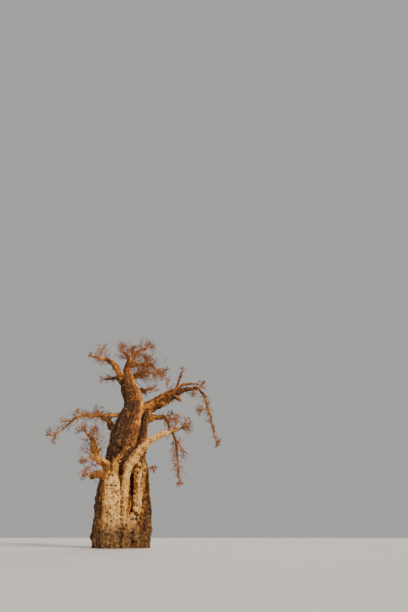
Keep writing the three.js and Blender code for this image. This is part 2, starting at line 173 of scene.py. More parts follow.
# The node that each of these stands for is its name after bough_
BOUGHS: dict[str, Bough] = {
    "front_right": Bough([
        [-230, -850, 2700, 180], [-170, -930, 3050, 215], [0, -1080, 3470, 228],
        [270, -1320, 3900, 208], [840, -1680, 4310, 172], [1440, -1970, 4560, 115],
        [2060, -2200, 4750, 68],
    ], tone=0.08, twigs_from=0.8, twigs_long=0.35),
    "hanging": Bough([
        [1700, -2070, 4690, 62], [1830, -2110, 4580, 60], [1950, -2150, 4240, 56],
        [2080, -2150, 3700, 48], [2200, -2100, 2640, 34],
    ], tone=0.75, voxel=0.01, twigs_from=0.12, twigs_long=0.5, twigs_rise=-0.7),
    "left_low": Bough([
        [-960, -600, 2900, 210], [-1130, -800, 3190, 180], [-1400, -980, 3310, 172],
        [-1660, -1110, 3500, 168], [-1850, -1250, 3820, 156], [-1970, -1300, 4080, 150],
        [-2070, -1380, 4270, 115], [-2310, -1600, 4440, 60],
    ], tone=0.28, tone_tip=0.7, spurs=(
        [[-1620, -1090, 3440, 150], [-1840, -1220, 3510, 135], [-2030, -1320, 3560, 85]],
    ), twigs_from=0.30, twigs_long=0.85, twigs_each=(4, 2)),
    "left_stub": Bough([
        [-1000, -580, 2760, 200], [-1270, -800, 2830, 178], [-1530, -1000, 2780, 160],
        [-1830, -1200, 2680, 125],
    ], tone=0.62, twigs_from=0.45, twigs_long=0.5),
    "centre": Bough([
        [-860, -560, 2850, 240], [-850, -850, 3170, 215], [-720, -950, 3470, 140],
        [-540, -1000, 3860, 124], [-410, -1000, 4120, 110], [-270, -1010, 4390, 60],
    ], tone=0.15, tone_tip=1.0, knobs=((-770, -930, 3440, 165),), twigs_from=0.7, twigs_long=0.25),
    "left_long": Bough([
        [-500, 250, 6000, 180], [-960, 290, 6080, 112], [-1920, 620, 6020, 104],
        [-2860, 950, 6120, 82], [-3520, 1200, 5960, 62], [-4160, 1450, 5330, 38],
    ], tone=0.5, voxel=0.011, twigs_from=0.4, twigs_long=0.5),
    "top_left": Bough([
        [-1000, 350, 8000, 300], [-1240, 290, 8270, 262], [-1500, 110, 8630, 200],
        [-1770, -90, 8920, 165], [-2040, -250, 9080, 138], [-2400, -400, 9130, 112],
        [-3050, -700, 9030, 60],
    ], tone=0.56, twigs_from=0.55, twigs_long=0.55, twigs_rise=0.4),
    "crown_left": Bough([
        [-990, 310, 9100, 140], [-970, 310, 9540, 128], [-1110, 240, 9740, 110],
        [-1630, -100, 9960, 58],
    ], tone=0.56, voxel=0.012, twigs_from=0.2, twigs_long=0.8, twigs_each=(4, 2)),
    "crown_mid": Bough([
        [-960, 310, 9050, 140], [-840, 340, 9380, 134], [-730, 500, 9900, 116],
        [-520, 720, 10370, 96], [40, 1000, 10860, 52],
    ], tone=0.56, voxel=0.012, twigs_from=0.12, twigs_long=1.0, twigs_each=(4, 2)),
    "crown_right": Bough([
        [-960, 310, 8950, 150], [-720, 190, 9110, 125], [-270, 0, 9120, 100],
        [290, -250, 9040, 84], [680, -450, 8730, 50],
    ], tone=0.56, voxel=0.012, twigs_from=0.12, twigs_long=1.15, twigs_each=(4, 3)),
    "crown_back": Bough([
        [-860, 420, 8120, 210], [-600, 700, 8420, 150], [-390, 910, 8770, 128],
        [-60, 1170, 8900, 108], [160, 1460, 9220, 90], [760, 1900, 9480, 55],
    ], tone=0.56, voxel=0.012, twigs_from=0.15, twigs_long=1.15, twigs_each=(4, 3)),
    "upper_right": Bough([
        [-60, 500, 6230, 380], [420, 700, 6620, 365], [850, 730, 6850, 355],
        [1230, 650, 7020, 372], [1650, 510, 7300, 360], [2080, 350, 7590, 265],
        [2670, 150, 7770, 150], [3430, -90, 7870, 102],
    ], tone=0.62, tone_tip=0.95, voxel=0.0175, spurs=(
        [[1830, 430, 7420, 170], [2080, 300, 7360, 150], [2440, 110, 7050, 85]],
        [[2050, 340, 7740, 140], [2380, 290, 8050, 95], [2800, 200, 8170, 80],
         [3500, 10, 8160, 45]],
    ), knobs=((1350, 470, 6930, 230),), twigs_from=0.72, twigs_long=0.4),
    "drooping": Bough([
        [3370, -90, 7870, 80], [3530, -160, 7740, 82], [3850, -290, 7090, 72],
        [4110, -400, 6210, 57], [4310, -500, 5180, 44], [4370, -550, 4740, 34],
    ], tone=0.55, voxel=0.01, twigs_from=0.1, twigs_long=0.35, twigs_rise=-0.6),
    "upright": Bough([
        [2160, 350, 7660, 105], [2200, 400, 7960, 88], [2290, 500, 8400, 70],
        [2500, 700, 9220, 36],
    ], tone=0.95, voxel=0.01, twigs_from=0.45, twigs_long=0.3, twigs_rise=0.6),
    "mid_right": Bough([
        [80, 420, 5560, 200], [440, 620, 5880, 176], [730, 850, 6080, 166],
        [1160, 1200, 6290, 150], [1560, 1510, 6380, 132], [1860, 1700, 6240, 95],
        [2000, 1820, 5850, 62],
    ], twigs_from=0.55, twigs_long=0.4),
    "small_left": Bough([
        [-1000, 500, 8150, 150], [-1440, 650, 8330, 120], [-1830, 900, 8440, 90],
        [-2350, 1300, 8500, 48],
    ], tone=0.85, voxel=0.012),
    "rear_high": Bough([
        [-350, 500, 7250, 200], [-60, 780, 7690, 142], [180, 1000, 7770, 122],
        [340, 1260, 8070, 98], [720, 1650, 8230, 52],
    ], voxel=0.015),
    "rear_low": Bough([
        [-400, 760, 3600, 330], [-420, 1250, 4060, 262], [-260, 1750, 4320, 225],
        [-200, 2250, 4780, 178], [-360, 2700, 5130, 148], [-400, 3150, 5170, 112],
        [-360, 3550, 5530, 62],
    ], voxel=0.018),
    "rear_left": Bough([
        [-700, 600, 5000, 280], [-1050, 1060, 5430, 222], [-1450, 1330, 5560, 188],
        [-1620, 1750, 6020, 156], [-2020, 2060, 6320, 118], [-2300, 2500, 6600, 68],
    ], voxel=0.017),
    "rear_top": Bough([
        [-830, 500, 7950, 200], [-700, 900, 8300, 168], [-760, 1180, 8730, 146],
        [-430, 1520, 9080, 120], [-340, 1930, 9380, 94], [-110, 2300, 9740, 56],
    ], voxel=0.015),
    "rear_right": Bough([
        [800, 850, 6750, 250], [1120, 1250, 7180, 198], [1420, 1420, 7420, 170],
        [1620, 1850, 7640, 142], [1980, 2120, 8050, 108], [2200, 2600, 8400, 60],
    ], voxel=0.016),
}

PALE_LIMBS = {"front_right", "left_low", "left_stub", "centre"}


class Growth(Enum):
    """How thickly a mass is twigged: main twigs for each of the rule's, then side twigs by level."""

    SPARSE = (1, 3, 2, 1)
    FULL = (2, 4, 3, 1)
    BRUSH = (3, 4, 3, 1)
    THICKET = (5, 4, 2, 1)


@dataclass(frozen=True)
class Mass:
    """A twig mass: its limb, how far along it grows, its furthest tip, room and main twigs."""

    host: str
    along: float | tuple[float, float, float]
    tip: tuple[float, float, float]
    room: float
    count: int
    growth: Growth = Growth.FULL


# The node that each of these stands for is its name after twigs_
MASSES: dict[str, Mass] = {
    "top_left": Mass("top_left", 1, (-3310, -900, 9120), 300, 3),
    "top_left_up": Mass("top_left", 0.82, (-2620, -550, 10100), 560, 4),
    "crown_left": Mass("crown_left", 1, (-1330, 0, 10440), 600, 5, Growth.THICKET),
    "crown_mid": Mass("crown_mid", 1, (420, 1200, 11330), 600, 5, Growth.THICKET),
    "crown_mid_side": Mass("crown_mid", 0.42, (-830, 400, 10650), 600, 5, Growth.THICKET),
    "crown_right": Mass("crown_right", 1, (1140, -500, 8230), 620, 4, Growth.THICKET),
    "crown_right_up": Mass("crown_right", 0.55, (160, -300, 9720), 650, 6, Growth.THICKET),
    "crown_back": Mass("crown_back", 1, (1720, 2400, 9890), 750, 4, Growth.THICKET),
    "crown_back_side": Mass("crown_back", 0.6, (420, 1050, 9900), 650, 5, Growth.THICKET),
    "upper_right": Mass("upper_right", 1, (3840, 60, 8330), 520, 4, Growth.BRUSH),
    "upper_right_low": Mass("upper_right", 0.94, (3110, -300, 7190), 380, 3),
    "upper_right_up": Mass("upper_right", 0.56, (1480, 500, 8870), 330, 3, Growth.SPARSE),
    "upright": Mass("upright", 1, (2600, 800, 9560), 300, 3),
    "drooping": Mass("drooping", 1, (4620, -700, 4450), 400, 4),
    "drooping_side": Mass("drooping", 0.46, (3250, -300, 6380), 420, 4),
    "mid_right": Mass("mid_right", 1, (2120, 2080, 5480), 430, 4),
    "mid_right_up": Mass("mid_right", 0.72, (2220, 2000, 6900), 430, 3),
    "front_right": Mass("front_right", 1, (2690, -2600, 5020), 600, 5, Growth.THICKET),
    "front_right_up": Mass("front_right", 0.94, (1900, -2300, 5510), 560, 4, Growth.THICKET),
    "hanging": Mass("hanging", 1, (2290, -2100, 2250), 300, 3),
    "hanging_side": Mass("hanging", 0.16, (2610, -2200, 3330), 330, 3),
    "left_low": Mass("left_low", 1, (-2790, -1900, 4770), 480, 4, Growth.BRUSH),
    "left_low_up": Mass("left_low", 0.86, (-2120, -1400, 4950), 400, 3, Growth.BRUSH),
    "left_low_side": Mass("left_low", (-1930, -1270, 3530), (-2430, -1450, 3130), 380, 3, Growth.BRUSH),
    "left_stub": Mass("left_stub", 1, (-2320, -1500, 2880), 430, 4, Growth.BRUSH),
    "centre": Mass("centre", 1, (-240, -1100, 4690), 300, 3),
    "left_long": Mass("left_long", 1, (-4900, 1800, 5050), 720, 5, Growth.BRUSH),
    "left_long_up": Mass("left_long", 0.62, (-3680, 1100, 6490), 400, 3),
    "left_long_fan": Mass("left_long", 0.84, (-4610, 1420, 6010), 430, 3),
    "small_left": Mass("small_left", 1, (-2720, 1700, 8620), 380, 3),
    "right_stem": Mass("trunk", (760, 60, 3300), (1380, 200, 3410), 320, 3, Growth.BRUSH),
    "rear_high": Mass("rear_high", 1, (1000, 2150, 8550), 520, 3),
    "rear_low": Mass("rear_low", 1, (-250, 4250, 5950), 900, 4, Growth.BRUSH),
    "rear_left": Mass("rear_left", 1, (-2850, 3050, 7000), 760, 4, Growth.BRUSH),
    "rear_top": Mass("rear_top", 1, (100, 2950, 10450), 820, 4, Growth.BRUSH),
    "rear_right": Mass("rear_right", 1, (2550, 3150, 8950), 800, 3, Growth.BRUSH),
}


def seeded(seed: int) -> Callable[[], float]:
    """The same numbers every time from one seed.

    Args:
        seed: where the row of numbers starts.

    Returns:
        A function that gives the next number, from 0 up to 1.
    """
    state = seed

    def draw() -> float:
        """The next number."""
        nonlocal state
        state = (state * 1664525 + 1013904223) & 0xFFFFFFFF
        return state / 4294967296

    return draw


def waves(points: Array, seed: int) -> Array:
    """Smooth noise from about -1 to 1.

    Args:
        points: places, one row each, in units of one wave.
        seed: picks the pattern.

    Returns:
        One value for each place.
    """
    cell = np.floor(points).astype(np.int64)
    part = points - cell
    fade = part ** 3 * (part * (part * 6 - 15) + 10)
    total = np.zeros(len(points))
    for corner in range(8):
        step = np.array([corner & 1, corner >> 1 & 1, corner >> 2 & 1])
        mixed = (cell + step) * np.array([73856093, 19349663, 83492791])
        code = (mixed[:, 0] ^ mixed[:, 1] ^ mixed[:, 2] ^ seed * 668265263) & 0xFFFFFFFF
        code = (code ^ code >> 13) * 1274126177 & 0xFFFFFFFF
        code = (code ^ code >> 15) * 2246822519 & 0xFFFFFFFF
        slope = np.stack([(code >> shift & 1023) / 511.5 - 1 for shift in (0, 10, 20)], axis=1)
        weight = np.prod(np.where(step, fade, 1 - fade), axis=1)
        total += weight * np.sum((part - step) * slope, axis=1)
    return total * 1.5


def drift(points: Array, seeds: tuple[int, int, int]) -> Array:
    """Smooth noise in three directions, one row for each place."""
    return np.stack([waves(points, seed) for seed in seeds], axis=1)


def patches(points: Array, pitch: float, seed: int, gain: float, lift: float) -> Array:
    """Where something shows, from 0 to 1, in patches about a pitch in metres across."""
    return np.clip(waves(points / pitch, seed) * gain + lift, 0, 1)


def winding(points: Array, seed: int, wide: float) -> Array:
    """1 on winding lines and 0 away from them."""
    return np.exp(-((waves(points, seed) / wide) ** 2))


def unit(rows: Array) -> Array:
    """Each row at length 1."""
    return rows / np.maximum(np.linalg.norm(rows, axis=-1, keepdims=True), 1e-12)


def spread(band: tuple[float, float], share: float) -> float:
    """The least of a band and a share of how much more it may be."""
    return band[0] + band[1] * share


def inside(points: Array, low: Array, high: Array) -> Array:
    """Whether each row of numbers lies between a lowest and a highest one."""
    return ((points > low) & (points < high)).all(axis=-1)


class LimbLine:
    """The smooth line through a course, in metres, with the radius at any share of its length."""

    # Steps between two rows of a course, the share of the length over which a direction is taken,
    # and the crooks: how far they go for the radius and at most in metres, how long they are in
    # radii, and over how many metres they start at either end
    STEPS = 60
    REACH = 0.002
    CROOK_SHARE = 0.62
    CROOK_MOST = 0.085
    CROOK_PITCH = 3.4
    CROOK_FADE = 0.35

    def __init__(self, course: Course, crook_seed: int = 0) -> None:
        """Works out the line.

        Args:
            course: rows of x, y, z and radius in millimetres.
            crook_seed: picks the small crooks of a bough, or 0 for none.
        """
        rows = np.array(course, dtype=float) * MM
        points, self.radii = rows[:, :3], rows[:, 3]
        ends = np.vstack([2 * points[0] - points[1], points, 2 * points[-1] - points[-2]])
        gaps = np.linalg.norm(np.diff(ends, axis=0), axis=1)[:, None] ** 0.5
        first, second, third = gaps[:-2], gaps[1:-1], gaps[2:]
        p0, p1, p2, p3 = ends[:-3], ends[1:-2], ends[2:-1], ends[3:]
        out = ((p1 - p0) / first - (p2 - p0) / (first + second) + (p2 - p1) / second) * second
        into = ((p2 - p1) / second - (p3 - p1) / (second + third) + (p3 - p2) / third) * second
        t = np.linspace(0, 1, self.STEPS + 1)[:-1, None]
        pieces = [
            a + u * t + (3 * (b - a) - 2 * u - v) * t ** 2 + (2 * (a - b) + u + v) * t ** 3
            for a, b, u, v in zip(p1, p2, out, into)
        ]
        self.points = np.vstack([*pieces, points[-1:]])
        run = np.linalg.norm(np.diff(self.points, axis=0), axis=1)
        self.lengths = np.concatenate([[0], np.cumsum(run)])
        self.total = float(self.lengths[-1])
        self.shares = self.lengths / self.total
        self.marks = self.shares[:: self.STEPS]
        if crook_seed:
            self.crook(crook_seed)

    def crook(self, seed: int) -> None:
        """Bends the line a little this way and that, but not at its two ends.

        Args:
            seed: picks the bends.
        """
        radius = self.radius(self.shares)
        run = np.cumsum(np.gradient(self.lengths) / (radius * self.CROOK_PITCH + 0.05))
        end_gap = np.minimum(self.lengths, self.total - self.lengths)
        ends = np.clip(end_gap / self.CROOK_FADE, 0, 1)
        amount = np.minimum(radius * self.CROOK_SHARE, self.CROOK_MOST) * ends
        own = np.full_like(run, 3.7 * seed)
        bends = [
            waves(np.column_stack([run, own, np.full_like(run, k + 0.4)]), seed) for k in range(3)
        ]
        self.points = self.points + np.column_stack(bends) * amount[:, None] * 1.5

    def at(self, share: float | Array) -> Array:
        """The place at a share of the length."""
        return np.stack([np.interp(share, self.shares, self.points[:, k]) for k in range(3)], -1)

    def radius(self, share: float | Array) -> Array:
        """The radius at a share of the length."""
        return np.interp(share, self.marks, self.radii)

    def lead(self, share: float | Array) -> Array:
        """The direction of the line at a share of the length."""
        ahead, behind = np.minimum(share + self.REACH, 1), np.maximum(share - self.REACH, 0)
        return unit(self.at(ahead) - self.at(behind))

    def frames(self, rings: int) -> tuple[Array, Array, Array]:
        """Two steady directions across the line at each ring, and the line's own.

        Args:
            rings: how many steps the line is cut into.

        Returns:
            The two cross directions and the lead, one row for each ring.
        """
        lead = self.lead(np.linspace(0, 1, rings + 1))
        start = np.zeros(3)
        start[np.argmin(np.abs(lead[0]))] = 1
        across = np.cross(lead[0], unit(np.cross(lead[0], start)))
        rows = [across]
        for tangent in lead[1:]:
            across = unit(across - tangent * np.dot(across, tangent))
            rows.append(across)
        side = np.array(rows)
        return side, np.cross(lead, side), lead


def stem_relief(lobes: int, phase: float) -> Relief:
    """Root lobes, upright folds and soft swellings of a stem.

    Args:
        lobes: how many root lobes stand round the foot.
        phase: turns the pattern.

    Returns:
        A function of angle, length and height in metres that gives a share of the radius.
    """
    def relief(turn: Array, length: Array, height: Array) -> Array:
        """The share of the radius at each place."""
        tall = height / MM
        return (
            1 + FLARE_AMOUNT * np.exp(-np.maximum(tall, 0) / FLARE_FADE) * np.cos(lobes * turn + phase)
            + FLUTE_AMOUNT * np.sin((lobes + 4) * turn + 3 * phase + tall / 1400)
            + BULGE_AMOUNT * np.sin(tall / BULGE_PITCH * 2 * math.pi + phase + turn)
        )

    return relief


def bough_relief(phase: float) -> Relief:
    """Uneven thickness of a bough.

    Args:
        phase: shifts the knuckles.

    Returns:
        A function of angle, length and height in metres that gives a share of the radius.
    """
    def relief(turn: Array, length: Array, height: Array) -> Array:
        """The share of the radius at each place."""
        run = length / MM / KNUCKLE_PITCH
        return (
            1 + KNUCKLE_AMOUNT * 0.6 * np.sin(run * 2 * math.pi + phase)
            + KNUCKLE_AMOUNT * 0.7 * np.sin(3 * turn + run + phase)
        )

    return relief


@dataclass
class Bar:
    """One round limb or part of one, as it is drawn before it is fused with its neighbours."""

    line: LimbLine
    relief: Relief
    tone: float
    code: int
    tone_end: float | None = None
    start: float = 0.0
    stop: float = 1.0
    dive_in: float = 0.0
    dive_out: float = 0.0
    swell: float = 1.0
    sides: int = 28
    pitch: float = 0.06

    # The share of its radius that is left where it has sunk in
    LEAST = 0.72

    def draw(self, bm: bmesh.types.BMesh) -> None:
        """Bends a round bar along the line and adds it to the shape.

        Args:
            bm: the shape that the bar joins.
        """
        rings = max(6, int(self.line.total * (self.stop - self.start) / self.pitch))
        bar = bmesh.new()
        bmesh.ops.create_cone(
            bar, cap_ends=True, segments=self.sides, radius1=1, radius2=1, depth=1)
        long_edges = [e for e in bar.edges if abs(e.verts[0].co.z - e.verts[1].co.z) > 0.5]
        bmesh.ops.subdivide_edges(bar, edges=long_edges, cuts=rings - 1)
        across, other, _ = self.line.frames(rings)
        shares = np.linspace(self.start, self.stop, rings + 1)
        fine = np.linspace(0, 1, rings + 1)
        side = unit(np.stack([np.interp(shares, fine, across[:, k]) for k in range(3)], -1))
        up = unit(np.stack([np.interp(shares, fine, other[:, k]) for k in range(3)], -1))
        centre, radius = self.line.at(shares), self.line.radius(shares) * self.swell
        radius = radius * self.dive(shares)
        for vert in bar.verts:
            ring = round((vert.co.z + 0.5) * rings)
            turn = math.atan2(vert.co.y, vert.co.x)
            reach = radius[ring] * self.relief(turn, shares[ring] * self.line.total, centre[ring][2])
            vert.co = Vector(
                centre[ring] + reach * (math.cos(turn) * side[ring] + math.sin(turn) * up[ring]))
        mesh = bpy.data.meshes.new("bar")
        bar.to_mesh(mesh)
        bar.free()
        bm.from_mesh(mesh)
        bpy.data.meshes.remove(mesh)

    def dive(self, shares: Array) -> Array:
        """How far the bar shrinks where it sinks into the next piece of the same limb."""
        depth = np.ones(len(shares))
        for away, reach in ((shares - self.start, self.dive_in), (self.stop - shares, self.dive_out)):
            if reach:
                share = np.clip(away * self.line.total / reach, 0, 1)
                swelled = self.LEAST + (1 - self.LEAST) * np.sin(share * math.pi / 2)
                depth = np.minimum(depth, swelled)
        return depth


@dataclass(frozen=True)
class Patch:
    """A spot on the near face: its middle and half sides in metres, and how strong it is.

    A scar's strength is its depth in metres, and a stain's is how much darker or paler it is.
    """

    x: float
    z: float
    wide: float
    tall: float
    strength: float

    def gap(self, points: Array) -> Array:
        """How far points lie from the middle, squared, and 1 at the rim."""
        return ((points[:, 0] - self.x) / self.wide) ** 2 + ((points[:, 2] - self.z) / self.tall) ** 2


# Holes, knots and hollows that show on the near face of the trunk
TRUNK_SCARS = tuple(Patch(*row) for row in (
    (-0.78, 2.1, 0.05, 0.055, 0.09), (-0.59, 2.1, 0.05, 0.06, 0.09), (-0.46, 1.97, 0.035, 0.035, 0.05),
    (-0.76, 2.52, 0.03, 0.03, 0.045), (-0.67, 2.56, 0.03, 0.03, 0.045), (-0.5, 1.37, 0.045, 0.03, 0.05),
    (-1.08, 2.39, 0.06, 0.05, 0.07), (-0.9, 2.39, 0.1, 0.045, 0.065), (-0.65, 2.41, 0.06, 0.05, 0.08),
    (-0.6, 0.98, 0.05, 0.04, 0.05), (-0.28, 1.71, 0.04, 0.05, 0.03), (-0.27, 1.48, 0.035, 0.05, 0.025),
    (-0.22, 1.28, 0.035, 0.06, 0.03), (-0.21, 0.46, 0.12, 0.2, 0.055), (0.08, 0.8, 0.07, 0.06, 0.05),
    (0.02, 0.7, 0.09, 0.08, 0.05), (0.7, 3.15, 0.055, 0.06, 0.09), (0.84, 2.33, 0.055, 0.11, 0.09),
    (0.81, 1.88, 0.06, 0.04, 0.07), (0.59, 1.23, 0.045, 0.045, 0.06), (0.37, 1.15, 0.03, 0.06, 0.05),
    (0.56, 0.88, 0.03, 0.04, 0.05), (0.73, 1.64, 0.035, 0.25, 0.09), (0.7, 1.15, 0.045, 0.23, 0.11),
    (0.6, 2.9, 0.04, 0.09, 0.07), (0.57, 2.49, 0.035, 0.1, 0.07), (0.54, 2.18, 0.035, 0.08, 0.06),
    (0.9, 2.83, 0.045, 0.05, 0.06), (0.28, 3.12, 0.04, 0.06, 0.06), (0.4, 0.55, 0.04, 0.04, 0.05),
    (-1.02, 2.66, 0.05, 0.03, 0.06), (-0.55, 2.7, 0.04, 0.05, 0.06), (-0.86, 2.78, 0.06, 0.03, 0.05),
    (-0.7, 2.9, 0.05, 0.035, 0.055),
))

# Burrs and swollen wood on the near face, in millimetres: most fill the clefts at its foot, two
# stand at the top of the gap between the stems
TRUNK_SWELLINGS = (
    (260, -540, 1120, 230), (330, -560, 830, 300), (120, -660, 560, 330), (500, -520, 520, 360),
    (820, -330, 420, 330), (60, -700, 200, 330), (700, -440, 180, 360), (1020, -260, 640, 190),
    (-1150, -180, 900, 190), (-1230, 20, 520, 260), (-1040, -420, 330, 300), (-1270, 60, 1250, 150),
    (320, -290, 3400, 170), (290, -280, 3160, 150), (-640, -860, 330, 260), (-250, -760, 1500, 165),
    (-240, -780, 1850, 135), (-230, -730, 1150, 190), (80, -640, 1390, 125), (420, -490, 1450, 135),
)

# In turn: the coppery panel on the right, the pale column beside the gap in two parts, painted shade on
# the left flank, painted shade in the two clefts beside the front stem, the darker right foot and the
# coppery upper right
TRUNK_STAINS_AND_SHADE = tuple(Patch(*row) for row in (
    (1.06, 1.3, 0.28, 1, 0.78), (0.47, 2.3, 0.17, 0.8, -0.45), (0.52, 1.45, 0.15, 0.4, -0.2),
    (-1.3, 1.1, 0.3, 1.2, 0.25), (0.08, 2.1, 0.06, 0.8, 1), (-0.45, 3.45, 0.12, 0.5, 0.7),
    (1, 0.75, 0.45, 0.45, 0.25), (0.9, 2.75, 0.18, 0.65, 0.75),
))


@dataclass(frozen=True)
class Folds:
    """How deep each kind of relief is in the bark, in metres, and how long its waves are."""

    flute: float = 0.040
    flute_wide: float = 0.52
    flute_long: float = 3.2
    fold: float = 0.034
    fold_wide: float = 0.26
    fold_long: float = 1.7
    seam: float = 0.034
    lump: float = 0.042
    lump_wide: float = 0.46
    boss: float = 0.055
    boss_wide: float = 0.26
    rib: float = 0.012
    rib_wide: float = 0.10
    wrinkle: float = 0.006
    wrinkle_pitch: float = 0.10
    knob: float = 0.020
    knob_wide: float = 0.13
    pit: float = 0.030
    pit_wide: float = 0.085


TRUNK_FOLDS = Folds()
LEADER_FOLDS = Folds(fold=0.044, lump=0.036, boss=0.046, rib=0.020, knob=0.015, pit=0.022)
BOUGH_FOLDS = Folds(
    flute=0.010, flute_wide=0.2, flute_long=1.2, fold=0.012, fold_wide=0.11, fold_long=0.7,
    seam=0.008, lump=0.024, lump_wide=0.27, boss=0.032, boss_wide=0.15, rib=0.005, rib_wide=0.05,
    wrinkle=0.005, wrinkle_pitch=0.06, knob=0.009, knob_wide=0.075, pit=0.018, pit_wide=0.075)
THIN_FOLDS = Folds(
    flute=0.003, flute_wide=0.1, flute_long=0.8, fold=0.005, fold_wide=0.07, fold_long=0.5,
    seam=0.002, lump=0.011, lump_wide=0.16, boss=0.016, boss_wide=0.10, rib=0.003, rib_wide=0.04,
    wrinkle=0.003, wrinkle_pitch=0.045, knob=0.005, knob_wide=0.05, pit=0.006, pit_wide=0.05)


@dataclass
class BarkSkin:
    """The bark of one or more fused limbs: one closed mesh with its folds, seams and scars.

    Its tone is darker on the side that faces left, as painted shade, and paler on the one that faces
    right, as a painted highlight, by its two shares for the sides.
    """

    name: str
    nodes: tuple[str, ...]
    slot: str
    bars: list[Bar]
    folds: Folds
    balls: tuple[tuple[float, float, float, float], ...] = ()
    voxel: float = 0.02
    smooth_rounds: int = 4
    scars: tuple[Patch, ...] = ()
    # Stains on the near face, some of them painted shade
    stains_and_shade: tuple[Patch, ...] = ()
    # Shares of painted shade on the side that faces left and of a painted highlight on the side that faces
    # right
    side_shade_and_highlight: tuple[float, float] = (0.4, 0.0)
    grounded: bool = False

    # A pit this deep gets the darkest painted shade, and its rim wanders this far over this length
    DARK_DEPTH = 0.070
    STRAY = 0.05
    STRAY_PITCH = 0.08
    # Up to what height the foot is rough or earthy, and over what height that fades
    ROUGH_FOOT = (0.35, 0.55)
    EARTHY_FOOT = (0.5, 0.62)
    # How far the grain wanders in metres, in how many waves for each metre, and how much of that
    # flutes and ribs follow
    WARP = 0.14
    WARP_RATE = 1.3
    FLUTE_WARP = 0.8
    RIB_WARP = 0.5
    # How much calmer folds are at the foot, and how much higher its lumps, knobs and bosses
    FOOT_CALM = 0.5
    FOOT_LUMP, FOOT_KNOB, FOOT_BOSS = 0.9, 1.1, 0.12
    # How many waves of seams there are to one of folds, and how narrow seams and creases are as a
    # share of a wave's height
    SEAM_RATE = 0.62
    SEAM_WIDE = 0.085
    CREASE_WIDE = 0.16
    # How many times longer than wide ribs and pits are, and how wide in metres a crease runs round
    RIB_LONG = 9
    PIT_LONG = 1.3
    CREASE_ROUND = 0.55
    # Where seams, creases and pits show: each one's pitch, seed, gain and lift
    SEAM_PATCH = (0.9, 28, 2.5, 0.35)
    CREASE_PATCH = (0.8, 26, 2, 0.3)
    PIT_PATCH = (0.7, 35, 2, 0.75)
    # How deep and how soft a scar is for what is listed, and how soon it fades as the skin turns away
    SCAR_DEEP = 0.8
    SCAR_SOFT = 0.8
    NEAR_FACE = 3
    # From what wave height a boss or a pit starts, and over what height it is full
    BOSS_BAND = (0.22, 0.6)
    PIT_BAND = (0.40, 0.24)
    # The fine and the broad hollows: how often the skin is smoothed, the depth that counts as full
    # in metres, and their share of the shading
    HOLLOWS = ((6, 0.007, 0.45), (45, 0.034, 0.55))
    # The shares of creases between limbs and of pits in the shading, and how much earth hides it
    MARGIN_SHARE, PIT_SHARE, EARTH_CALM = 0.2, 0.75, 0.3
    # How far apart in metres the places are that the grain is taken from, how far past a bar's ends
    # they go, by its length's share and in metres, and how far apart two limbs' grains are
    GRAIN_STEP = 0.06
    END_SLACK = 0.02
    SHIFT_SLACK = 0.12
    APART = (3.1, 1.7)
    # How sharply one limb's tone gives way to the next one's, and how wide their crease is
    BLEND = 7
    MARGIN = 0.3
    # From how far left the skin faces before it gets painted shade, from how far right before it gets a
    # painted highlight, and over how much more
    LEFT_FROM, RIGHT_FROM, SIDE_BAND = 0.30, 0.25, 0.5
    DARKEST = 1.2

    def build(self, material: Material) -> Object:
        """Draws, fuses, cuts, folds and dresses the bark.

        Args:
            material: the bark's finish.

        Returns:
            The finished piece.
        """
        piece = self.fuse()
        if self.grounded:
            self.cut_level(piece.data)
        pit = self.fold(piece.data)
        self.dress(piece, pit, material)
        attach(piece, BODY)
        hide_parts(*self.nodes)
        return piece

    def fuse(self) -> Object:
        """Draws every bar and joins them in one skin."""
        bm = bmesh.new()
        for bar in self.bars:
            bar.draw(bm)
        for x, y, z, radius in self.balls:
            made = bmesh.ops.create_icosphere(bm, subdivisions=3, radius=radius * MM)
            bmesh.ops.translate(bm, verts=made["verts"], vec=Vector((x, y, z)) * MM)
        drawn = bpy.data.meshes.new(self.name)
        bm.to_mesh(drawn)
        bm.free()
        piece = add_object(self.name, drawn)
        remesh = piece.modifiers.new("Fuse", "REMESH")
        remesh.mode = "VOXEL"
        remesh.voxel_size = self.voxel
        remesh.use_smooth_shade = True
        smooth = piece.modifiers.new("Soften", "SMOOTH")
        smooth.factor = 0.5
        smooth.iterations = self.smooth_rounds
        graph = bpy.context.evaluated_depsgraph_get()
        fused = bpy.data.meshes.new_from_object(piece.evaluated_get(graph))
        piece.modifiers.clear()
        piece.data = fused
        fused.name = self.name
        bpy.data.meshes.remove(drawn)
        return piece

    @staticmethod
    def cut_level(mesh: Mesh) -> None:
        """Cuts the skin level at the ground and closes it there."""
        bm = bmesh.new()
        bm.from_mesh(mesh)
        bmesh.ops.bisect_plane(
            bm, geom=[*bm.verts, *bm.edges, *bm.faces], plane_co=(0, 0, 0), plane_no=(0, 0, 1),
            clear_inner=True)
        rim = [e for e in bm.edges if e.is_boundary]
        bmesh.ops.edgeloop_fill(bm, edges=rim)
        bm.to_mesh(mesh)
        bm.free()

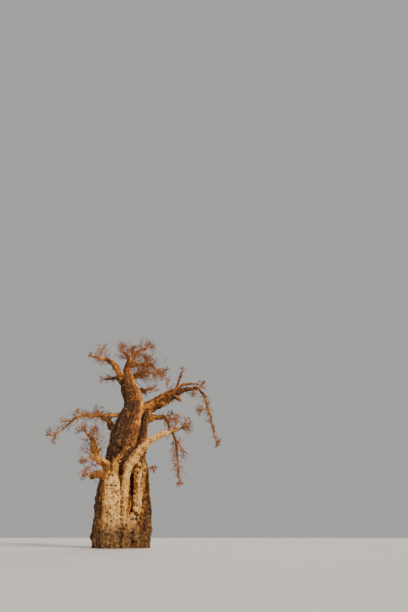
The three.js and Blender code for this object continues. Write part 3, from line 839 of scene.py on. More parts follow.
    def along(self, points: Array) -> tuple[Array, Array, Array, Array]:
        """Finds the limb that each point belongs to and its place along and round that limb.

        Args:
            points: places in metres, one row each.

        Returns:
            The place in the limb's own straight frame, the limb's tone, how far the point is from
            the crease with the next limb, from 0 to 1, and how far it faces right, from -1 to 1.
        """
        size = (len(points), len(self.bars))
        near, tones, right = (np.zeros(size, dtype=np.float32) for _ in range(3))
        spots = np.zeros((*size, 3), dtype=np.float32)
        for i, bar in enumerate(self.bars):
            rings = max(8, int(bar.line.total / self.GRAIN_STEP))
            side, other, lead = bar.line.frames(rings)
            shares = np.linspace(0, 1, rings + 1)
            keep = (shares >= bar.start - self.END_SLACK) & (shares <= bar.stop + self.END_SLACK)
            centre, radius = bar.line.at(shares), bar.line.radius(shares)
            gap = (
                np.sum(points ** 2, axis=1)[:, None] + np.sum(centre[keep] ** 2, axis=1)
                - 2 * points @ centre[keep].T
            )
            best = np.flatnonzero(keep)[np.argmin(gap, axis=1)]
            away = points - centre[best]
            shift = np.sum(away * lead[best], axis=1)
            out = away - shift[:, None] * lead[best]
            near[:, i] = np.linalg.norm(out, axis=1) / radius[best]
            right[:, i] = unit(out)[:, 0]
            near[:, i] += np.maximum(np.abs(shift) - self.SHIFT_SLACK, 0) / radius[best]
            spots[:, i, 0] = np.sum(away * side[best], axis=1) + self.APART[0] * bar.code
            spots[:, i, 1] = np.sum(away * other[best], axis=1) + self.APART[1] * bar.code
            spots[:, i, 2] = shares[best] * bar.line.total + shift
            last = bar.tone if bar.tone_end is None else bar.tone_end
            tones[:, i] = bar.tone + (last - bar.tone) * shares[best]
        own = np.argmin(near, axis=1)
        rows = np.arange(len(points))
        order = np.sort(near, axis=1)
        margin = order[:, 1] - order[:, 0] if near.shape[1] > 1 else np.ones(len(points))
        weight = np.exp(-self.BLEND * (near - order[:, :1]))
        weight /= np.sum(weight, axis=1)[:, None]
        tone, facing = np.sum(weight * tones, axis=1), np.sum(weight * right, axis=1)
        return spots[rows, own], tone, np.clip(margin / self.MARGIN, 0, 1), facing

    def fold(self, mesh: Mesh) -> Array:
        """Moves the skin into flutes, folds, seams, lumps, bosses, wrinkles and pits.

        Args:
            mesh: the fused skin.

        Returns:
            How far each vertex lies in a pit, from 0 to 1.
        """
        f = self.folds
        points, normals = read(mesh.vertices, "co"), read(mesh.vertices, "normal")
        grain, _, inner, _ = self.along(points)
        warp = drift(points * self.WARP_RATE, (11, 12, 13)) * self.WARP
        stretched = (grain + warp) / (f.fold_wide, f.fold_wide, f.fold_long)
        broad = (grain + self.FLUTE_WARP * warp) / (f.flute_wide, f.flute_wide, f.flute_long)
        low = self.near_ground(points, *self.ROUGH_FOOT)
        calm = inner * (1 - self.FOOT_CALM * low)
        move = f.flute * waves(broad, 20) * calm + f.fold * waves(stretched, 21) * calm
        seam = winding(stretched * self.SEAM_RATE + 7, 22, self.SEAM_WIDE)
        move -= f.seam * seam * inner * patches(points, *self.SEAM_PATCH)
        move += f.lump * waves(points / f.lump_wide, 23) * (1 + self.FOOT_LUMP * low)
        move += f.knob * waves(points / f.knob_wide, 24) * (1 + self.FOOT_KNOB * low)
        start, full = self.BOSS_BAND
        boss = waves(points / f.boss_wide, 29) - start + self.FOOT_BOSS * low
        boss = np.clip(boss, 0, full) / full
        move += f.boss * boss * (2 - boss)
        ribs = (grain + self.RIB_WARP * warp) / (f.rib_wide, f.rib_wide, f.rib_wide * self.RIB_LONG)
        move += f.rib * waves(ribs, 25) * inner
        rings = (grain + warp) / (self.CREASE_ROUND, self.CREASE_ROUND, f.wrinkle_pitch)
        creases = patches(points, *self.CREASE_PATCH) * winding(rings, 27, self.CREASE_WIDE)
        move -= f.wrinkle * creases * 2
        pit = self.pits(points, normals, grain)
        move -= f.pit * pit
        moved = points + normals * move[:, None]
        if self.grounded:
            moved[:, 2] = np.where(points[:, 2] < 1e-4, 0, np.maximum(moved[:, 2], 0.001))
        mesh.vertices.foreach_set("co", moved.astype(np.float32).ravel())
        mesh.update()
        return pit

    def near_ground(self, points: Array, top: float, over: float) -> Array:
        """1 up to a height and fading above it, but 0 where the piece doesn't stand on the ground."""
        if not self.grounded:
            return np.zeros(len(points))
        return np.exp(-np.maximum(points[:, 2] - top, 0) / over)

    def pits(self, points: Array, normals: Array, grain: Array) -> Array:
        """How far each point lies in a scattered pit or a named scar.

        Args:
            points: the skin's places.
            normals: its directions outwards.
            grain: its places along and round the limbs.

        Returns:
            A share for each point, 0 outside the pits and 1 at their bottoms.
        """
        wide = self.folds.pit_wide
        start, full = self.PIT_BAND
        depth = waves(grain / (wide, wide, wide * self.PIT_LONG), 34)
        depth = np.clip((depth - start) / full, 0, 1)
        depth *= patches(points, *self.PIT_PATCH)
        stray = points + drift(points / self.STRAY_PITCH, (36, 37, 38)) * self.STRAY
        facing = np.clip(-normals[:, 1] * self.NEAR_FACE, 0, 1) * (points[:, 1] < 0)
        for scar in self.scars:
            full = self.SCAR_DEEP * scar.strength / self.folds.pit
            depth = np.maximum(depth, full * np.exp(-scar.gap(stray) * self.SCAR_SOFT) * facing)
        return depth

    def dress(self, piece: Object, pit: Array, material: Material) -> None:
        """Writes where the bark is hollow, which the finish turns into painted shade, how coppery it is,
        with painted shade on the side that faces left and a painted highlight on the side that faces
        right, and where it is earthy, and gives it its finish.

        Args:
            piece: the folded bark.
            pit: how far each vertex lies in a pit.
            material: the bark's finish.
        """
        mesh = piece.data
        points, normals = read(mesh.vertices, "co"), read(mesh.vertices, "normal")
        grain, tone, inner, facing = self.along(points)
        # How hollow the skin is, which the finish turns into painted shade: creases between limbs, pits
        # and hollows under the smoothed skin
        pitted = np.clip(pit * self.folds.pit / self.DARK_DEPTH, 0, 1)
        hollow = self.MARGIN_SHARE * (1 - inner) + self.PIT_SHARE * pitted
        for rounds, full, share in self.HOLLOWS:
            hollow += share * np.clip(hollow_depth(mesh, points, normals, rounds) / full, -1, 1)
        earth = self.near_ground(points, *self.EARTHY_FOOT)
        # Painted shade on the skin that faces left and a painted highlight on the skin that faces right
        darker, paler = self.side_shade_and_highlight
        shade = np.clip(-facing - self.LEFT_FROM, 0, self.SIDE_BAND) * darker
        shade -= np.clip(facing - self.RIGHT_FROM, 0, self.SIDE_BAND) * paler
        # Stains on the near face, among them painted shade on the left flank and in two clefts
        for stain in self.stains_and_shade:
            shade += stain.strength * np.exp(-stain.gap(points)) * (points[:, 1] < 0)
        write(mesh, "grain", grain, "FLOAT_VECTOR", "vector")
        write(mesh, "tone", np.clip(tone + shade, 0, self.DARKEST))
        write(mesh, "hollow", np.clip(hollow * (1 - self.EARTH_CALM * earth), -1, 1))
        write(mesh, "earth", earth)
        mesh.materials.clear()
        mesh.materials.append(material)


def add_object(name: str, data: bpy.types.ID) -> Object:
    """Puts an object with its data in the scene."""
    made = bpy.data.objects.new(name, data)
    bpy.context.scene.collection.objects.link(made)
    return made


def read(owner: bpy.types.bpy_prop_collection, name: str) -> Array:
    """The three numbers of a vertex property, one row for each vertex."""
    flat = np.empty(len(owner) * 3, dtype=np.float32)
    owner.foreach_get(name, flat)
    return flat.reshape(-1, 3).astype(float)


def write(mesh: Mesh, name: str, values: Array, kind: str = "FLOAT", part: str = "value") -> None:
    """Keeps one value for each vertex under a name.

    Args:
        mesh: the mesh that keeps it.
        name: the attribute's name.
        values: one row for each vertex.
        kind: its Blender type.
        part: the property of that type.
    """
    kept = mesh.attributes.new(name, kind, "POINT")
    kept.data.foreach_set(part, values.astype(np.float32).ravel())


def hollow_depth(mesh: Mesh, points: Array, normals: Array, rounds: int) -> Array:
    """How far each point lies under the smoothed surface: above 0 in a hollow.

    Args:
        mesh: the mesh, for its edges.
        points: its vertices.
        normals: their normals.
        rounds: how often the surface is smoothed.

    Returns:
        The depth of each vertex in metres.
    """
    ends = np.empty(len(mesh.edges) * 2, dtype=np.int32)
    mesh.edges.foreach_get("vertices", ends)
    one, two = ends.reshape(-1, 2).T
    count = np.bincount(one, minlength=len(points)) + np.bincount(two, minlength=len(points))
    soft = points.copy()
    for _ in range(rounds):
        mean = np.stack([
            np.bincount(one, soft[two, k], len(points)) + np.bincount(two, soft[one, k], len(points))
            for k in range(3)
        ], axis=1) / np.maximum(count, 1)[:, None]
        soft = 0.4 * soft + 0.6 * mean
    return np.sum((soft - points) * normals, axis=1)


class Tree:
    """The whole tree: its limb lines and the bark pieces that are drawn along them."""

    # How far above and below the fork the two stems are drawn on, and how far they sink in there
    ABOVE_FORK = 0.45
    BELOW_FORK = 0.4
    FORK_DIVE = 0.4
    # A bough's fused root: its most share of the length, the share of it that sinks in, how much it
    # swells, and how long it is in metres on the trunk
    COLLAR_MOST, COLLAR_DIVE, COLLAR_SWELL, LOW_COLLAR = 0.6, 0.5, 1.05, 0.75
    # Broken side branches stand this far apart in metres; their root is no thicker than this, and
    # the bands say where they stand, how thick they are for the bough and how long for their radius
    STUB_SPACING = 0.55
    STUB_MOST = 0.13
    STUB_FROM = (0.22, 0.74)
    STUB_THICK = (0.26, 0.22)
    STUB_LONG = (1.2, 3.2)
    # From 0, old pale bark, to 1, young coppery bark, and a little more where it is nearly black
    STEM_TONES = {"front": 0.06, "front_rib": 0.2, "right": 0.28, "right_rib": 1.15,
                  "back": 0.7, "core": 0.55}
    LOW_BOUGHS = ("front_right", "left_low", "left_stub", "centre", "rear_low")
    # How much of each high bough is fused with the leader or the right stem, in metres
    HIGH_BOUGHS = {
        "left_long": 0.6, "top_left": 0.8, "crown_left": 0.6, "crown_mid": 0.6, "crown_right": 0.6,
        "crown_back": 0.6, "upper_right": 1.3, "mid_right": 0.6, "small_left": 0.6,
        "rear_high": 0.6, "rear_left": 0.8, "rear_top": 0.6,
    }
    # The same for the boughs that stand on another bough
    CARRIED = {
        "upper_right": (("rear_right", 0.7), ("upright", 0.3)), "front_right": (("hanging", 0.2),),
    }

    def __init__(self) -> None:
        """Works out every limb's line once."""
        self.stems = {name: LimbLine(course) for name, course in STEMS.items()}
        self.leader = LimbLine(LEADER)
        self.right_stem = LimbLine(RIGHT_STEM)
        self.boughs = {
            name: LimbLine(bough.course, 31 + i) for i, (name, bough) in enumerate(BOUGHS.items())
        }
        self.codes = {name: 10 + i for i, name in enumerate(BOUGHS)}

    def fork_bars(self, above: bool) -> list[Bar]:
        """The leader and the right stem, below the fork or above it.

        Args:
            above: whether it is the part above the fork.

        Returns:
            A bar for each, which sinks into its other part.
        """
        fork = FORK_HEIGHT * MM
        height = fork - self.BELOW_FORK if above else fork + self.ABOVE_FORK
        bars = []
        for line, relief, tone, tone_end, code, sides in (
            (self.leader, stem_relief(4, 0.7), 1.48, 0.68, 1, 48),
            (self.right_stem, stem_relief(3, 2), 1.15, None, 9, 36),
        ):
            share = float(np.interp(height, line.points[:, 2], line.shares))
            part = {"start": share, "dive_in": self.FORK_DIVE} if above else {
                "stop": share, "dive_out": self.FORK_DIVE}
            bars.append(Bar(line, relief, tone, code, tone_end=tone_end, sides=sides, **part))
        return bars

    def collar(self, name: str, length: float) -> Bar:
        """The root of a bough as it is fused with the limb it stands on.

        Args:
            name: the bough.
            length: how much of it is fused, in metres.

        Returns:
            The root's bar.
        """
        line, bough = self.boughs[name], BOUGHS[name]
        relief = bough_relief(1.7 * list(BOUGHS).index(name))
        return Bar(line, relief, bough.tone, self.codes[name], tone_end=bough.tone_tip,
                   stop=min(length / line.total, self.COLLAR_MOST),
                   dive_out=length * self.COLLAR_DIVE, swell=self.COLLAR_SWELL)

    def trunk_skin(self) -> BarkSkin:
        """The trunk's fused stems with the roots of the low boughs."""
        bars = [
            Bar(line, stem_relief(5 + i % 2, 1.3 * i), self.STEM_TONES[name], 2 + i,
                sides=52 if STEMS[name][0][3] > STOUT_STEM else 36)
            for i, (name, line) in enumerate(self.stems.items())
        ]
        bars += self.fork_bars(above=False)
        bars += [self.collar(name, self.LOW_COLLAR) for name in self.LOW_BOUGHS]
        return BarkSkin(
            "trunk_bark", ("trunk",), "pale_bark", bars, TRUNK_FOLDS, balls=TRUNK_SWELLINGS,
            # The near face's stains, some of them painted shade, and painted shade on the skin that faces
            # left
            voxel=0.0252, scars=TRUNK_SCARS, stains_and_shade=TRUNK_STAINS_AND_SHADE, side_shade_and_highlight=(1.1, 0.0),
            grounded=True)

    def leader_skin(self) -> BarkSkin:
        """The leader and the right stem above the fork with the roots of the high boughs."""
        bars = self.fork_bars(above=True)
        bars += [self.collar(name, length) for name, length in self.HIGH_BOUGHS.items()]
        return BarkSkin(
            "leader_bark", ("leader", "right_stem"), "copper_bark", bars, LEADER_FOLDS,
            # Painted shade on the skin that faces left and a painted highlight on the skin that faces
            # right
            voxel=0.0200, side_shade_and_highlight=(1.7, 0.9))

    def bough_skins(self) -> Iterator[BarkSkin]:
        """Each bough with its spurs and knobs."""
        for i, (name, bough) in enumerate(BOUGHS.items()):
            relief = bough_relief(1.7 * i)
            bars = [Bar(self.boughs[name], relief, bough.tone, self.codes[name],
                        tone_end=bough.tone_tip, pitch=0.04)]
            for course in bough.spurs:
                bars.append(Bar(LimbLine(course), relief, bough.tone, 40 + i, sides=20, pitch=0.04))
            bars += [self.collar(*carried) for carried in self.CARRIED.get(name, ())]
            bars += self.stubs(name, 60 + i)
            thin = self.boughs[name].radii[-2] < THIN_BOUGH
            yield BarkSkin(
                f"{name}_bark", (f"bough_{name}",),
                "pale_bark" if name in PALE_LIMBS else "copper_bark", bars,
                THIN_FOLDS if thin else BOUGH_FOLDS, balls=bough.knobs, voxel=bough.voxel,
                smooth_rounds=2)

    def stubs(self, name: str, code: int) -> list[Bar]:
        """Short broken side branches that stand on a bough.

        Args:
            name: the bough.
            code: keeps their grain apart from the bough's.

        Returns:
            A tapering bar for each stub.
        """
        line, draw = self.boughs[name], np.random.default_rng(433 + code)
        count = int(line.total / self.STUB_SPACING)
        bars = []
        for i in range(count):
            share = spread(self.STUB_FROM, (i + draw.random()) / count)
            lead, radius = line.lead(share), float(line.radius(share))
            aim = unit(unit(np.cross(draw.random(3) - 0.5, lead)) + 0.5 * lead)
            size = min(radius, self.STUB_MOST) * spread(self.STUB_THICK, draw.random())
            long = radius + size * spread(self.STUB_LONG, draw.random() ** 2)
            root = line.at(share)
            bent = root + aim * long * 0.6 + lead * size * 0.5 * draw.random()
            course = [[*(point / MM), thick / MM] for point, thick in (
                (root, size * 1.25), (bent, size), (root + aim * long, size * 0.62))]
            bars.append(Bar(LimbLine(course), bough_relief(i), BOUGHS[name].tone + 0.1, code,
                            sides=12, pitch=0.03))
        return bars

    def limb_samples(self) -> tuple[Array, Array]:
        """Points along each limb's middle with the radius there, for keeping twigs off limbs."""
        lines = [*self.stems.values(), LimbLine(LEADER[:6]), LimbLine(LEADER[5:]), self.right_stem]
        for name, bough in BOUGHS.items():
            lines += [self.boughs[name], *(LimbLine(course) for course in bough.spurs)]
        shares = np.linspace(0, 1, 31)
        return (
            np.vstack([line.at(shares) for line in lines]),
            np.concatenate([line.radius(shares) for line in lines]),
        )


class TwigRoom:
    """Where a mass starts, how it points, and the room it keeps to."""

    # The fan's width at its foot as a share of the room, and where along the line to the furthest
    # tip it is widest and where it ends
    WAIST = 0.42
    WIDEST = 0.72
    END = 1.02

    def __init__(self, mass: Mass, tree: Tree) -> None:
        """Works the room out from the mass's limb.

        Args:
            mass: the mass as it is listed.
            tree: the tree with its limb lines.
        """
        self.far = np.array(mass.tip) * MM
        self.room = mass.room * MM
        if isinstance(mass.along, tuple):
            self.start, self.thick = np.array(mass.along) * MM, TRUNK_TWIG_HOST * MM
            self.lead = unit(self.far - self.start)
        else:
            line = tree.boughs[mass.host]
            self.start, self.thick = line.at(mass.along), float(line.radius(mass.along))
            self.lead = line.lead(1.0) if mass.along == 1 else unit(self.far - self.start)

    def axes(self) -> tuple[Array, Array, Array, float]:
        """The direction to the furthest tip, two directions across it, and how far that tip is."""
        axis = self.far - self.start
        length = float(np.linalg.norm(axis))
        axis = axis / length
        side = unit(np.cross([0.3, -0.8, 0.5], axis))
        return axis, side, np.cross(axis, side), length

    def placed(self, points: Array, least: float, most: float) -> tuple[Array, Array]:
        """Where points are along the middle line, and how far off it as a share of the room.

        Args:
            points: places in metres.
            least: the least share of the line's length that counts.
            most: the most.

        Returns:
            The share of the length and the distance from that place for each point.
        """
        span = self.far - self.start
        share = np.clip((points - self.start) @ span / (span @ span), least, most)
        return share, np.linalg.norm(points - self.start - share[..., None] * span, axis=-1) / self.room

    def nearness(self, points: Array) -> Array:
        """How near points are to the middle line: 1 at the edge of the room."""
        return self.placed(points, 0, 1)[1]

    def fan(self, points: Array) -> Array:
        """Whether points are in the fan that finer twigs keep to: narrow at its foot, blunt at its end."""
        share, aside = self.placed(points, -np.inf, np.inf)
        opening = self.WAIST + (1 - self.WAIST) * np.clip(share / self.WIDEST, 0, 1)
        closing = np.sqrt(np.clip((self.END - share) / (self.END - self.WIDEST), 0, 1))
        return aside < np.minimum(opening, closing * 0.8 + 0.2 * (share < self.END))


@dataclass(frozen=True)
class Level:
    """How side twigs grow on thicker ones: lengths in metres and shares of the twig they leave."""

    reach: tuple[float, float]
    most: float
    first: float
    joints: int
    sides: int
    least: float


# Deals the finishes out unevenly: a spray's number times the first plus the second, in turns of the
# third
FINISH_DEAL = (7, 3, 11)


def fine_finish(sprays: Array) -> Array:
    """Which of the finer twigs' finishes each spray gets."""
    times, offset, turns = FINISH_DEAL
    return 1 + (sprays * times + offset) % turns % (len(TWIG_FINISHES) - 1)


class Sprays:
    """Twigs in growth: where their lines run, how long they are and which spray they belong to."""

    JOINTS = 10
    # The share of a twig's radius that its side twigs take, and the radius at their tips in metres
    TAKEN = 0.54
    TIP = 0.0042
    # The least angle at which they leave it and how much wider it may be, in degrees
    ANGLE = (24, 30)
    # How far they bend back towards its direction, how much they kink for the rule's thick twigs,
    # and the last share of its length at which one stands
    BEND = 0.22
    KINK = 0.40
    LAST = 0.97

    def __init__(self) -> None:
        """Starts with no twigs."""
        self.courses: list[Array] = []
        self.lengths: list[float] = []
        self.groups: list[int] = []

    def add(self, course: Array, group: int) -> None:
        """Takes in one twig as rows of x, y, z and radius, with its spray."""
        share = np.linspace(0, 1, len(course))
        even = np.linspace(0, 1, self.JOINTS)
        self.courses.append(np.column_stack([np.interp(even, share, course[:, k]) for k in range(4)]))
        self.lengths.append(float(np.sum(np.linalg.norm(np.diff(course[:, :3], axis=0), axis=1))))
        self.groups.append(group)

    def branch(
        self, each: int, draw: np.random.Generator, level: Level,
    ) -> tuple[Array, Array]:
        """Draws side twigs that leave every twig at an angle and run on crookedly.

        Args:
            each: how many leave one twig.
            draw: gives the random numbers.
            level: their lengths, joints and thickness.

        Returns:
            The side twigs' courses and their sprays.
        """
        (least_reach, most_reach), first, joints = level.reach, level.first, level.joints
        parents = np.repeat(np.stack(self.courses), each, axis=0)
        total = np.repeat(np.array(self.lengths), each)
        number = len(parents)
        slot = np.tile(np.arange(each), len(self.courses))
        share = first + (self.LAST - first) * (slot + draw.random(number)) / each
        place = share * (self.JOINTS - 1)
        low = np.minimum(place.astype(int), self.JOINTS - 2)
        rows = np.arange(number)
        here, there = parents[rows, low], parents[rows, low + 1]
        root = here + (there - here) * (place - low)[:, None]
        lead = unit(there[:, :3] - here[:, :3])
        aside = unit(np.cross(draw.random((number, 3)) - 0.5, lead))
        length = least_reach + (most_reach - least_reach) * draw.random(number)
        length *= np.minimum(total, level.most / most_reach)
        length *= 1.15 - 0.45 * share
        angle = np.radians(self.ANGLE[0] + self.ANGLE[1] * draw.random(number))
        on, out = (lead * np.cos(angle)[:, None], aside * np.sin(angle)[:, None])
        bend = unit(draw.random((number, 3)) - 0.5)
        path = []
        for j in range(joints + 1):
            s = j / joints
            line = (on + out) * s + self.BEND * (lead + 0.4 * bend) * (s * s - s * 0.4)
            kink = unit(draw.random((number, 3)) - 0.5) * (TWIG_KINK * self.KINK * min(1, 2 * s))
            path.append(root[:, :3] + (line + kink * (j > 0)) * length[:, None])
        thick = np.maximum(root[:, 3] * self.TAKEN, level.least)
        radius = thick[:, None] + (self.TIP - thick)[:, None] * np.linspace(0, 1, joints + 1)
        courses = np.concatenate([np.stack(path, axis=1), radius[..., None]], axis=2)
        return courses, np.repeat(np.array(self.groups), each)

    def finer(
        self, counts: tuple[int, ...], levels: tuple[Level, ...], draw: np.random.Generator,
        fits: Callable[[Array], Array],
    ) -> Iterator[tuple[Array, int, int]]:
        """Grows finer and finer side twigs, level by level.

        Args:
            counts: how many leave one twig at each level.
            levels: how they grow at each level.
            draw: gives the random numbers.
            fits: says which twigs have room.

        Yields:
            The courses of one finish, their number of sides and that finish.
        """
        sprays = self
        for each, level in zip(counts, levels):
            courses, groups = sprays.branch(each, draw, level)
            good = fits(courses[:, 1:, :3])
            courses, groups = courses[good], groups[good]
            if not len(courses):
                return
            finishes = fine_finish(groups)
            for finish in np.unique(finishes):
                yield courses[finishes == finish], level.sides, int(finish)
            sprays = Sprays()
            for course, group in zip(courses, groups):
                sprays.add(course, int(group))


def crooked(
    root: Array, tip: Array, lead: Array, joints: int, thick: float, draw: Callable[[], float],
) -> Array:
    """A crooked line from root to tip that sets off along the lead.

    Args:
        root: where it starts.
        tip: where it ends.
        lead: the direction it sets off in.
        joints: how many straight lengths it has.
        thick: the radius at its root.
        draw: gives the next random number.

    Returns:
        Rows of x, y, z and radius in metres.
    """
    length = np.linalg.norm(tip - root)
    middle = root + lead * length * LEAD_SHARE
    rows = []
    for i in range(joints + 1):
        share = i / joints
        point = (1 - share) ** 2 * root + 2 * share * (1 - share) * middle + share ** 2 * tip
        stray = length * TWIG_KINK * math.sin(math.pi * share) * share
        point = point + np.array([(draw() - 0.5) * 2 * stray for _ in range(3)])
        rows.append([*point, thick + (TWIG_TIP * MM - thick) * share])
    return np.array(rows)


class TwigMass:
    """One mass: a stem that runs on from its limb, main twigs, side twigs and finer ones."""

    # How far from its middle line a mass may reach, in shares of its room, and how much thicker than
    # drawn a limb counts when twigs keep off it
    EDGE = 1.05
    LIMB_SWELL = 1.12
    # Sides and joints that stems, main twigs, side twigs and added ones are drawn with
    STEM_DRAWN, MAIN_DRAWN, SIDE_DRAWN, MORE_DRAWN = (9, 22), (7, 12), (6, 7), (6, 12)
    # The rule's shares: the stem's radius for the limb's, where its main twigs leave it, how far out
    # and on they reach, where a side twig leaves one, how long it is and how it turns
    STEM_SHARE = 0.9
    MAIN_FROM, MAIN_OUT, MAIN_ON = (0.14, 0.5), (0.6, 0.35), (0.55, 0.4)
    SIDE_FROM, SIDE_LONG, SIDE_TURN = (0.35, 0.3), (0.3, 0.25), 0.7
    # The same for the added main twigs, and how much thicker than the rule's they are
    MORE_FROM, MORE_OUT, MORE_ON = (0.10, 0.82), (0.30, 0.60), (0.10, 0.42)
    MORE_LAST, MORE_TURN, MORE_THICK = 0.98, 0.5, 1.1
    LEVELS = (
        Level(reach=(0.45, 0.95), most=0.95, first=0.14, joints=6, sides=5, least=0.0140),
        Level(reach=(0.36, 0.72), most=0.42, first=0.18, joints=5, sides=4, least=0.0095),
        Level(reach=(0.40, 0.75), most=0.24, first=0.25, joints=3, sides=3, least=0.0062),
    )

    def __init__(
        self, name: str, index: int, rooms: dict[str, TwigRoom],
        samples: tuple[Array, Array], box: Array,
    ) -> None:
        """Prepares the mass.

        Args:
            name: the mass.
            index: its place in the list, which seeds it.
            rooms: every mass's room.
            samples: points and radii along the limbs.
            box: the lowest and highest corners that finer twigs stay between.
        """
        self.name, self.mass, self.space = name, MASSES[name], rooms[name]
        self.others = [room for key, room in rooms.items() if key != name]
        self.draw = seeded(1009 * (index + 1))
        self.finer = np.random.default_rng(7919 * (index + 1))
        at, radius = samples
        room = self.space.room
        close = self.space.nearness(at) * room < self.EDGE * room + radius * self.LIMB_SWELL + 0.1
        self.limb_at, self.limb_radius = at[close], radius[close]
        self.box = box
        self.twigs: Twigs = []

    def fits(self, points: Array) -> Array:
        """Whether every point of each twig is in the mass's own space and off the limbs.

        Args:
            points: places of a number of twigs, twig by twig.

        Returns:
            One truth value for each twig.
        """
        flat = points.reshape(-1, 3)
        own = self.space.nearness(flat)
        good = own < self.EDGE
        for other in self.others:
            good &= other.nearness(flat) > own
        if len(self.limb_at):
            gap = np.linalg.norm(flat[:, None] - self.limb_at, axis=2)
            clear = self.limb_radius * self.LIMB_SWELL + LIMB_CLEARANCE * MM
            good &= np.all(gap > clear, axis=1)
        return good.reshape(points.shape[:-1]).all(axis=1)

    def fits_fan(self, points: Array) -> Array:
        """Whether every point of each finer twig is in the mass's fan, in the box and off the limbs."""
        good = self.fits(points) & self.space.fan(points).all(axis=1)
        return good & inside(points, *self.box).all(axis=1)

    def fork(self, line: LimbLine, share: float, tip: Array, joints: int) -> Array:
        """A twig rooted inside the twig it forks from, no thicker than fits there."""
        thick = float(line.radius(share)) * FORK_THICK
        return crooked(line.at(share), tip, line.lead(share), joints, thick, self.draw)

    def side_tip(self, line: LimbLine, share: float) -> Array:
        """The tip of a side twig: onwards and outwards from its place on the main twig."""
        lead = line.lead(share)
        aside = unit(np.cross([self.draw() - 0.5 for _ in range(3)], lead))
        reach = line.total * spread(self.SIDE_LONG, self.draw())
        return line.at(share) + lead * reach * self.SIDE_TURN + aside * reach * self.SIDE_TURN

    def fan_targets(self, count: int) -> list[Array]:
        """Where the rule's main twigs end: they fan out round the line to the furthest tip."""
        axis, side, other, length = self.space.axes()
        phase = self.draw() * 2 * math.pi
        targets = []
        for i in range(count):
            turn = phase + GOLDEN_TURN * i
            out = self.space.room * spread(self.MAIN_OUT, self.draw())
            on = length * spread(self.MAIN_ON, self.draw())
            targets.append(
                self.space.start + axis * on + (side * math.cos(turn) + other * math.sin(turn)) * out)
        return targets

    def keep(self, twig: Array, drawn: tuple[int, int]) -> Array:
        """Keeps one thick twig, drawn smoothly through its joints, and gives its course back."""
        sides, joints = drawn
        line = LimbLine(twig / MM)
        shares = np.linspace(0, 1, joints + 1)
        course = np.column_stack([line.at(shares), line.radius(shares)])
        self.twigs.append((course[None], sides, STOUT_FINISH))
        return course

    def grow(self) -> None:
        """Grows the mass by the source's rule, then carries it on to finer twigs."""
        space, count = self.space, self.mass.count
        foot = space.start - space.lead * ROOT_DEPTH * MM
        thick = min(max(space.thick * self.STEM_SHARE, STEM_THIN * MM), STEM_THICK * MM)
        stem = crooked(foot, space.far, space.lead, 5, thick, self.draw)
        stem_line = LimbLine(stem / MM)
        sprays = Sprays()
        sprays.add(self.keep(stem, self.STEM_DRAWN), 1)
        for i, target in enumerate(self.fan_targets(count)):
            main = self.fork(stem_line, spread(self.MAIN_FROM, i / count), target, 3)
            if not self.fits(main[None, 2:, :3])[0]:
                continue
            sprays.add(self.keep(main, self.MAIN_DRAWN), i + 1)
            line = LimbLine(main / MM)
            share = spread(self.SIDE_FROM, self.draw())
            side = self.fork(line, share, self.side_tip(line, share), 2)
            if self.fits(side[None, 1:, :3])[0]:
                sprays.add(self.keep(side, self.SIDE_DRAWN), i + 1)
        self.add_mains(stem_line, sprays)
        each = self.mass.growth.value[1:]
        self.twigs += sprays.finer(each, self.LEVELS, self.finer, self.fits_fan)

    def add_mains(self, stem_line: LimbLine, sprays: Sprays) -> None:
        """Adds more main twigs all along the stem, each reaching on into the room.

        Args:
            stem_line: the stem's line.
            sprays: the thick twigs so far, which they join.
        """
        axis, side, other, length = self.space.axes()
        extra = self.mass.growth.value[0] * self.mass.count
        number = self.finer.random
        for i in range(extra):
            share = spread(self.MORE_FROM, (i + number()) / extra)
            turn = GOLDEN_TURN * i + number()
            out = self.space.room * spread(self.MORE_OUT, number())
            on = length * min(share + spread(self.MORE_ON, number()), self.MORE_LAST)
            root = stem_line.at(share)
            target = (self.space.start + axis * on
                      + (side * math.cos(turn) + other * math.sin(turn)) * out)
            lead = unit(stem_line.lead(share) + self.MORE_TURN * unit(target - root))
            thick = float(stem_line.radius(share)) * FORK_THICK * self.MORE_THICK
            main = crooked(root, target, lead, 5, thick, number)
            if self.fits_fan(main[None, 2:, :3])[0]:
                sprays.add(self.keep(main, self.MORE_DRAWN), self.mass.count + i + 1)

    def build(self, finishes: list[Material]) -> Object:
        """Grows the mass and joins its twigs in one piece.

        Args:
            finishes: plain twig finishes, dealt out spray by spray.

        Returns:
            The finished piece.
        """
        self.grow()
        piece = twig_piece(f"{self.name}_twigs", self.twigs, finishes)
        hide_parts(f"twigs_{self.name}")
        return piece


